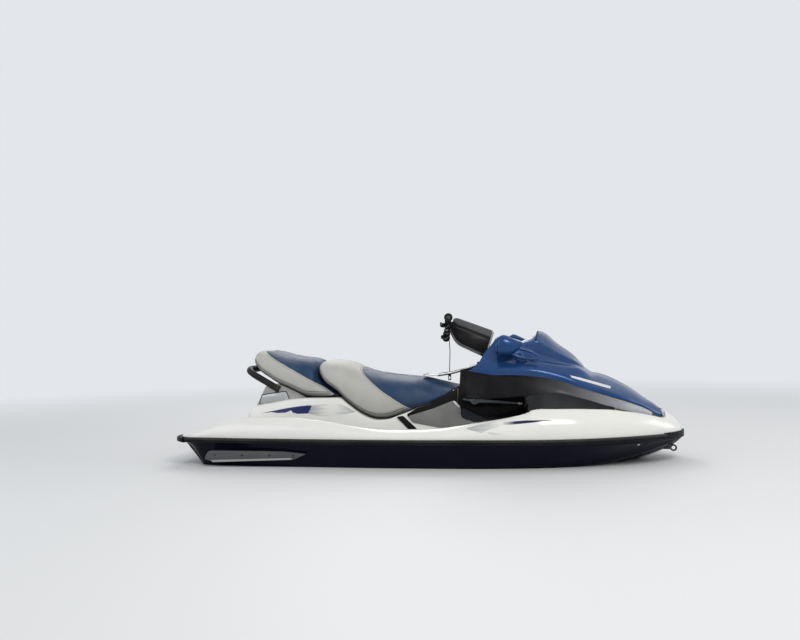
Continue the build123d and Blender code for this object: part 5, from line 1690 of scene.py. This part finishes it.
def makeSwitches():
    y = steerShape["switchY"]
    clamp = roundOnBar("switchHousing", clampRows(y, 0.0215, 0.0235))
    body = block("switchHousing", onBar(y - 0.0175, -0.0355, -0.0298), onBar(y + 0.0175, -0.002, -0.0062))
    roundEdges(body, 0.005, 4)
    start, below = Vector(lanyard["route"][0]), Vector(lanyard["route"][1])
    back = (start - below).normalized()
    rows = ((0.0, 0.005), (0.0004, 0.0085), (0.003, 0.0096), (0.009, 0.0096), (0.0105, 0.008), (0.012, 0.0064),
            (0.02, 0.006), (0.029, 0.006))
    post = skin("switchHousing", [ringAt(start + back * h, back, r, r, 24, (1, 0, 0)) for h, r in rows], closed=True)
    addTo([turnBar(clamp), turnBar(body), post], blackPlastic, "handlebar", ("switch_housing",))
    buttons = []
    for dy in (-0.0075, 0.0075):
        place = Vector(onBar(y + dy, -0.0355, -0.018))
        rows = ((0.0, 0.0052), (0.0016, 0.0052), (0.0024, 0.0044), (0.0026, 0.0015))
        rings = [ringAt(place + Vector((-h, 0, 0)), (-1, 0, 0), r, r, 20) for h, r in rows]
        buttons.append(skin("switchButtons", rings, closed=True))
    onHandlebar(buttons, buttonRed)


def makeCover():
    half = steerShape["coverHalf"]
    body = slab("steeringCover", softOutline(steerShape["cover"], steerShape["coverRound"], 7), 0, half)
    roundEdges(body, 0.0085, 5, 50)
    hole = tube("barHole", [onBar(-0.2), onBar(0.2)], steerShape["barRadius"] + 0.0003, count=32)
    cutAway(body, hole)
    onHandlebar([body], blackPlastic, ("steering_cover",))
    panels = []
    for sign in (1, -1):
        panel = slab("coverPanels", softOutline(steerShape["coverPanel"], 0.016, 6), sign * (half - 0.0005), 0.0018)
        panels.append(roundEdges(panel, 0.0012, 2))
        panels.append(roundOnBar("coverPanels", [(half - 0.001, 0.0112), (half - 0.001, 0.019), (half + 0.003, 0.019),
                                                 (half + 0.006, 0.0165), (half + 0.007, 0.012)], sign))
        for x, z in steerShape["coverScrews"]:
            panels.append(screwHead("coverPanels", (x, sign * (half + 0.0012), z), (0, sign, 0), 0.0042, 0.0016))
    onHandlebar(panels, coverSatin)


def makePad():
    body = slab("steeringPad", softOutline(steerShape["pad"], steerShape["padRound"], 6), 0, steerShape["padHalf"])
    roundEdges(body, 0.0075, 5, 50)
    onHandlebar([body], padRubber, ("steering_pad",))
    ribs = []
    for k in range(7):
        route = [(x, -0.045 + 0.015 * k, z) for x, z in steerShape["padRib"]]
        ribs.append(tube("padRibs", smoothPath(route, 0.01), 0.0028, 0.002, 10))
    onHandlebar(ribs, padDark)
    strip = slab("padStrip", softOutline(steerShape["padStrip"], 0.0015), 0, 0.0694)
    onHandlebar([roundEdges(strip, 0.0012, 2)], greyPlastic)


def makeBoot():
    # bellows round the steering column
    pivot, axis = Vector(steerShape["pivot"]), Vector(steerShape["axis"])
    low, high = steerShape["boot"]
    rings = []
    n = steerShape["folds"] * 6
    for k in range(n + 1):
        s = low + (high - low) * k / n
        r = steerShape["bootRadius"] + 0.0028 * cos(2 * pi * k / 6) + 0.003 * (1 - k / n)
        rings.append(ringAt(pivot + axis * s, axis, r, r, 36, (0, 1, 0)))
    addTo([skin("columnBoot", rings, closed=True)], gripRubber, "handlebar")


padDark = finish("padRib", (0.045, 0.045, 0.047), rough=0.6, grain=480, relief=0.4, vary=0.2)
coverSatin = finish("coverSatin", (0.007, 0.007, 0.009), rough=0.32, grain=900, relief=0.15, vary=0.25,
                    film=0.03, spec=0.15)
buttonRed = finish("buttonRed", (0.3, 0.015, 0.012), rough=0.35, grain=1500, relief=0.1)
makeGrips()
makeThrottle()
makeSwitches()
makeCover()
makePad()
makeBoot()
print("handlebar made")

gaugeShape = dict(
    outline=mm((481.5, 542), (464, 600), (507, 670.5), (595, 692.5), (598.5, 512)), half=0.0945,
    face=((0.4635, 0.601), (0.507, 0.671)), dial=(0.046, 0.0285), ticks=25,
)


def makeGauges():
    # panel behind the notch of the hood, with one wide gauge that looks back at the rider
    body = slab("instrumentPanel", softOutline(gaugeShape["outline"], (0.006, 0.012, 0.016, 0.012, 0.006), 5), 0,
                gaugeShape["half"])
    roundEdges(body, 0.006, 4, 50)
    wear(body, coverSatin, "hull", ("instrument_panel",))
    (ax, az), (bx, bz) = gaugeShape["face"]
    middle = Vector(((ax + bx) / 2, 0, (az + bz) / 2))
    up = Vector((bx - ax, 0, bz - az)).normalized()
    out = Vector((-up.z, 0, up.x))
    wide, high = gaugeShape["dial"]

    def oval(share, lift):
        return ringAt(middle + out * lift, out, wide * share, high * share, 56, up, 2.6)

    bezel = skin("gaugeBezel", [oval(1.1, -0.003), oval(1.1, 0.0022), oval(1.06, 0.0042), oval(1.0, 0.0042),
                                oval(0.97, 0.0012), oval(0.96, -0.003)], closed=True)
    addTo([bezel], brightAlloy, "hull")
    glass = skin("gaugeGlass", [oval(0.975, -0.002), oval(0.975, 0.0012), oval(0.8, 0.002), oval(0.4, 0.0026)],
                 closed=True)
    addTo([glass], gaugeDark, "hull")
    marks = []
    across = Vector((0, 1, 0))
    for k in range(gaugeShape["ticks"]):
        a = radians(200 - 220 * k / (gaugeShape["ticks"] - 1))
        long = 0.1 if k % 4 == 0 else 0.055
        ends = [middle + across * (wide * s * cos(a)) + up * (high * s * sin(a)) + out * 0.0024
                for s in (0.86, 0.86 - long)]
        marks.append(tube("gaugeMarks", ends, 0.00055, 0.0004, 6, up=out))
    needle = [middle + out * 0.0034, middle + out * 0.0034 + across * 0.02 + up * 0.013]
    marks.append(tube("gaugeMarks", needle, [0.0012, 0.0004], [0.0006, 0.0003], 8, up=out))
    addTo(marks, lampWhite, "hull")
    keys = []
    for y in (-0.07, -0.058, 0.058, 0.07):
        for s in (-0.014, 0.014):
            rings = [ringAt(middle + across * y + up * s + out * h, out, 0.0044 * r, 0.0036 * r, 20, up, 3)
                     for h, r in ((-0.002, 1), (0.0012, 1), (0.0018, 0.85), (0.0019, 0.3))]
            keys.append(skin("gaugeKeys", rings, closed=True))
    addTo(keys, trimPlastic, "hull")


gaugeDark = finish("gaugeGlass", (0.006, 0.008, 0.01), rough=0.08, coat=0.6, vary=0.1)
makeGauges()
print("instrument panel made")

matShape = dict(
    # x, y centre, length, width, corner, rib spacing
    mats=mm((-210, 372, 1720, 136, 50, 10), (-210, -372, 1720, 136, 50, 10), (-1330, 0, 290, 800, 60, 12)),
    # gaps between the ribs of the platform's mat, at y
    low=0.1824, thick=0.0026, rib=0.0014, gaps=((-0.205, -0.195), (-0.005, 0.005), (0.195, 0.205)),
)


def roundedPlan(length, width, corner):
    points = []
    for sx, sy, start in ((1, 1, 0), (-1, 1, 90), (-1, -1, 180), (1, -1, 270)):
        for k in range(9):
            a = radians(start + 90 * k / 8)
            points.append((sx * (length / 2 - corner) + corner * cos(a), sy * (width / 2 - corner) + corner * sin(a)))
    return points


def makeMats():
    sheets, ribs = [], []
    low, thick, high = matShape["low"], matShape["thick"], matShape["rib"]
    for cx, cy, length, width, corner, pitch in matShape["mats"]:
        plan = [(cx + x, cy + y) for x, y in roundedPlan(length, width, corner)]
        n = len(plan)
        verts = [(x, y, z) for z in (low, low + thick) for x, y in plan]
        faces = [tuple(range(n - 1, -1, -1)), tuple(range(n, 2 * n))]
        faces += [(i, (i + 1) % n, n + (i + 1) % n, n + i) for i in range(n)]
        sheets.append(solidFrom("deckMats", verts, faces))
        count = int((length - 0.016) / pitch)
        for k in range(count):
            x = cx - length / 2 + 0.01 + pitch * (k + 0.5)
            reach = width / 2 - 0.007
            edge = length / 2 - abs(x - cx)
            if edge < corner:
                reach = width / 2 - corner - 0.005 + sqrt(max(corner ** 2 - (corner - edge) ** 2, 0))
            edges = [-reach, *(y for gap in matShape["gaps"] for y in gap), reach] if width > 0.3 else [-reach, reach]
            for y0, y1 in zip(edges[::2], edges[1::2]):
                if y1 - y0 < 0.01:
                    continue
                a, b = pitch * 0.3, pitch * 0.16
                z0, z1 = low + thick - 0.0003, low + thick + high
                ribs.append([(x + sx * w, cy + y, z) for z, w in ((z0, a), (z1, b)) for sx in (-1, 1)
                             for y in (y0, y1)])
    allVerts, allFaces = [], []
    for verts in ribs:
        s = len(allVerts)
        allVerts += verts
        allFaces += [(s, s + 1, s + 5, s + 4), (s + 2, s + 6, s + 7, s + 3), (s + 4, s + 5, s + 7, s + 6),
                     (s, s + 4, s + 6, s + 2), (s + 1, s + 3, s + 7, s + 5), (s, s + 2, s + 3, s + 1)]
    sheets.append(solidFrom("deckMats", allVerts, allFaces))
    addTo(sheets, matRubber, "hull", ("deck_mats",))


makeMats()
print("mats laid")

# painted films on the hull sides and hood, as plain streaks of colour
filmShape = dict(
    pedestalBlue=mm(
        (-1039, 299), (-968, 312), (-877, 329), (-800, 339), (-746, 345), (-713, 345), (-725, 324),
        (-736, 296), (-803, 294), (-836, 302), (-820, 314), (-848, 316), (-881, 302), (-935, 299), (-975, 304)),
    pedestalSilver=mm(
        (-711, 345), (-632, 353), (-545, 356), (-487, 336), (-431, 304), (-527, 288), (-600, 281), (-681, 284),
        (-734, 296), (-723, 324)),
    bowSilver=mm(
        (292, 235), (340, 248), (401, 262), (462, 269), (506, 269), (506, 258), (471, 243), (419, 229),
        (384, 214), (340, 225)),
    bowFringe=mm((414, 218), (453, 215), (488, 211), (536, 206), (488, 202), (440, 205)),
    bowBlue=mm(
        (506, 269), (549, 273), (634, 280), (720, 282), (783, 279), (720, 275), (634, 266), (549, 258),
        (506, 258)),
    hoodStripe=mm(
        (878, 520), (930, 506), (990, 486), (1050, 466), (1106, 447), (1102, 436), (1046, 454), (986, 474),
        (930, 493), (884, 508)),
    accent=mm(
        (-312, 470), (-296, 492), (-262, 507), (-215, 514), (-170, 514), (-150, 508), (-190, 500), (-240, 489),
        (-270, 474), (-285, 462)),
    step=0.01, lift=0.0009,
)


def filmOn(name, target, outline, toward=(0, 1, 0), lift=None, back=1.5):
    # thin film cut to a side outline and laid on a surface
    lift = filmShape["lift"] if lift is None else lift
    work = bmesh.new()
    work.faces.new([work.verts.new((x, 0, z)) for x, z in outline])
    bmesh.ops.triangulate(work, faces=work.faces[:])
    xs, zs = zip(*outline)
    for axis, values in ((0, xs), (2, zs)):
        normal = Vector((0, 0, 0))
        normal[axis] = 1.0
        for k in np.arange(min(values) + filmShape["step"] / 2, max(values), filmShape["step"]):
            bmesh.ops.bisect_plane(work, geom=work.verts[:] + work.edges[:] + work.faces[:],
                                   plane_co=normal * float(k), plane_no=normal)
    tree = treeOf(target)
    toward = Vector(toward).normalized()
    for vertex in work.verts:
        start = Vector((vertex.co.x, 0, vertex.co.z)) - toward * back
        hit, normal, index, distance = tree.ray_cast(start, toward)
        if hit is None:
            hit, normal, index, distance = tree.find_nearest(start + toward * (back - 0.28))
        if normal.dot(toward) > 0:
            normal = -normal
        vertex.co = hit + normal * lift
    bmesh.ops.recalc_face_normals(work, faces=work.faces)
    mesh = bpy.data.meshes.new(name)
    work.normal_update()
    if work.faces[0].normal.dot(toward) > 0:
        bmesh.ops.reverse_faces(work, faces=work.faces)
    work.to_mesh(mesh)
    work.free()
    film = newObject(name, mesh)
    thick = film.modifiers.new("thick", "SOLIDIFY")
    thick.thickness = lift * 1.6
    thick.offset = -1
    applyModifiers(film)
    tidyMesh(film, 50)
    return film


def feather(low, high):
    # streaks along the boat that thin out at the middle of a film
    def mask(tree, place):
        split = addNode(tree, "ShaderNodeSeparateXYZ", {0: place})
        middle, half = (low + high) / 2, (high - low) / 2
        offset = mathNode(tree, "SUBTRACT", split.outputs["X"], middle)
        away = mathNode(tree, "ABSOLUTE", mathNode(tree, "DIVIDE", offset, half))
        stretch = addNode(tree, "ShaderNodeMapping", {"Vector": place, "Scale": (7.0, 1.0, 95.0)})
        lines = noiseNode(tree, stretch.outputs[0], 1.0, 3.0)
        uneven = mathNode(tree, "MULTIPLY", mathNode(tree, "SUBTRACT", lines["Fac"], 0.5), 0.9)
        return rangeNode(tree, mathNode(tree, "ADD", away, uneven), 0.15, 1.0)
    return mask


filmSilver = finish("filmSilver", (0.84, 0.84, 0.8), rough=0.18, coat=0.3, vary=0.05,
                    masks=((feather(-0.735, -0.431), (0.36, 0.38, 0.4)),))
filmBow = finish("filmBow", (0.84, 0.84, 0.81), rough=0.18, coat=0.3, vary=0.05,
                 masks=((feather(0.28, 0.76), (0.34, 0.36, 0.37)),))
filmBlue = finish("filmBlue", (0.008, 0.018, 0.11), rough=0.18, coat=0.2, vary=0.08, spec=0.2)
filmDeep = finish("filmDeep", (0.78, 0.78, 0.76), rough=0.18, coat=0.2, vary=0.08, spec=0.25,
                  masks=((alongX(0.495, 0.57), (0.009, 0.016, 0.075)),))
filmWhite = finish("filmWhite", (0.74, 0.75, 0.76), rough=0.2, coat=0.5, vary=0.05)


def layFilms():
    onDeck, onHood = (deckPiece, "gelcoat_white", "hull"), (hoodPiece, "hood_blue", "hood")
    for key, matter, back, (target, slot, body) in (
            ("pedestalBlue", filmBlue, 0.44, onDeck), ("pedestalSilver", filmSilver, 0.44, onDeck),
            ("bowSilver", filmBow, 1.5, onDeck), ("bowFringe", filmBow, 1.5, onDeck),
            ("bowBlue", filmDeep, 1.5, onDeck), ("hoodStripe", filmWhite, 1.5, onHood)):
        near = filmOn(key, target, filmShape[key], back=back)
        addTo([near, mirrored(near, key)], matter, body)
    near = filmOn("seatAccent", frontSeat, filmShape["accent"], (0, 0.72, -0.69), 0.001)
    addTo([near, mirrored(near, "seatAccent")], darkPanel, "hull")


layFilms()
print("films laid")


def makeFittings():
    # small white dome on the hood's front, and a small outlet in each side of the bow
    x, z = fittings["cap"]
    rows = ((-0.004, 0.95), (0.0005, 1.0), (0.003, 0.97), (0.0055, 0.8), (0.007, 0.5), (0.0074, 0.2))
    lean = Vector((0.55, 0, 0.83))
    rings = []
    for h, share in rows:
        r = fittings["whiteDomeRadius"] * share
        rings.append(ringAt(Vector((x, 0, z)) + lean * h, lean, r, r, 28, (0, 1, 0)))
    addTo([skin("hoodWhiteDome", rings, closed=True)], lampWhite, "hood")
    tree = treeOf(hullPiece)
    x, z = fittings["drain"]
    outlets = []
    for sign in (1, -1):
        hit, normal, index, distance = tree.ray_cast(Vector((x, sign * 1.5, z)), Vector((0, -sign, 0)))
        outlets.append(screwHead("bowOutlets", hit, normal, fittings["drainRadius"], 0.004))
    addTo(outlets, lampWhite, "hull")


makeFittings()

# finishes of the parts that keep their CAD shape
binPlastic = finish("binPlastic", (0.012, 0.012, 0.013), rough=0.5, grain=500, relief=0.4, vary=0.25,
                    film=0.08, spec=0.2)
blastedAlloy = finish("blastedAlloy", (0.42, 0.42, 0.42), rough=0.42, metal=0.8, grain=700, relief=0.35,
                      vary=0.15,
                      film=0.12, filmColour=(0.3, 0.27, 0.2))
pumpPaint = finish("pumpPaint", (0.03, 0.03, 0.032), rough=0.35, grain=700, relief=0.25, vary=0.2, film=0.1,
                   scuff=0.3,
                   spec=0.3)
keptFinish = dict(
    glove_box=binPlastic, storage_bin=binPlastic, engine_block=castAlloy, ride_plate=blastedAlloy,
    intake_grate=blastedAlloy, jet_pump_housing=castAlloy, impeller=stainless, drive_shaft=stainless,
    reverse_bucket=pumpPaint, steering_nozzle=pumpPaint, handlebar_tube=darkSteel, steering_column=darkSteel,
    tow_eyes=darkSteel, mirror_glasses=mirrorFace,
)
for name, piece in frame["nodes"].items():
    matter = keptFinish.get(name, blackPlastic)
    if not piece.material_slots:
        piece.data.materials.append(matter)
    for holder in piece.material_slots:
        holder.material = matter
print("kept parts finished")
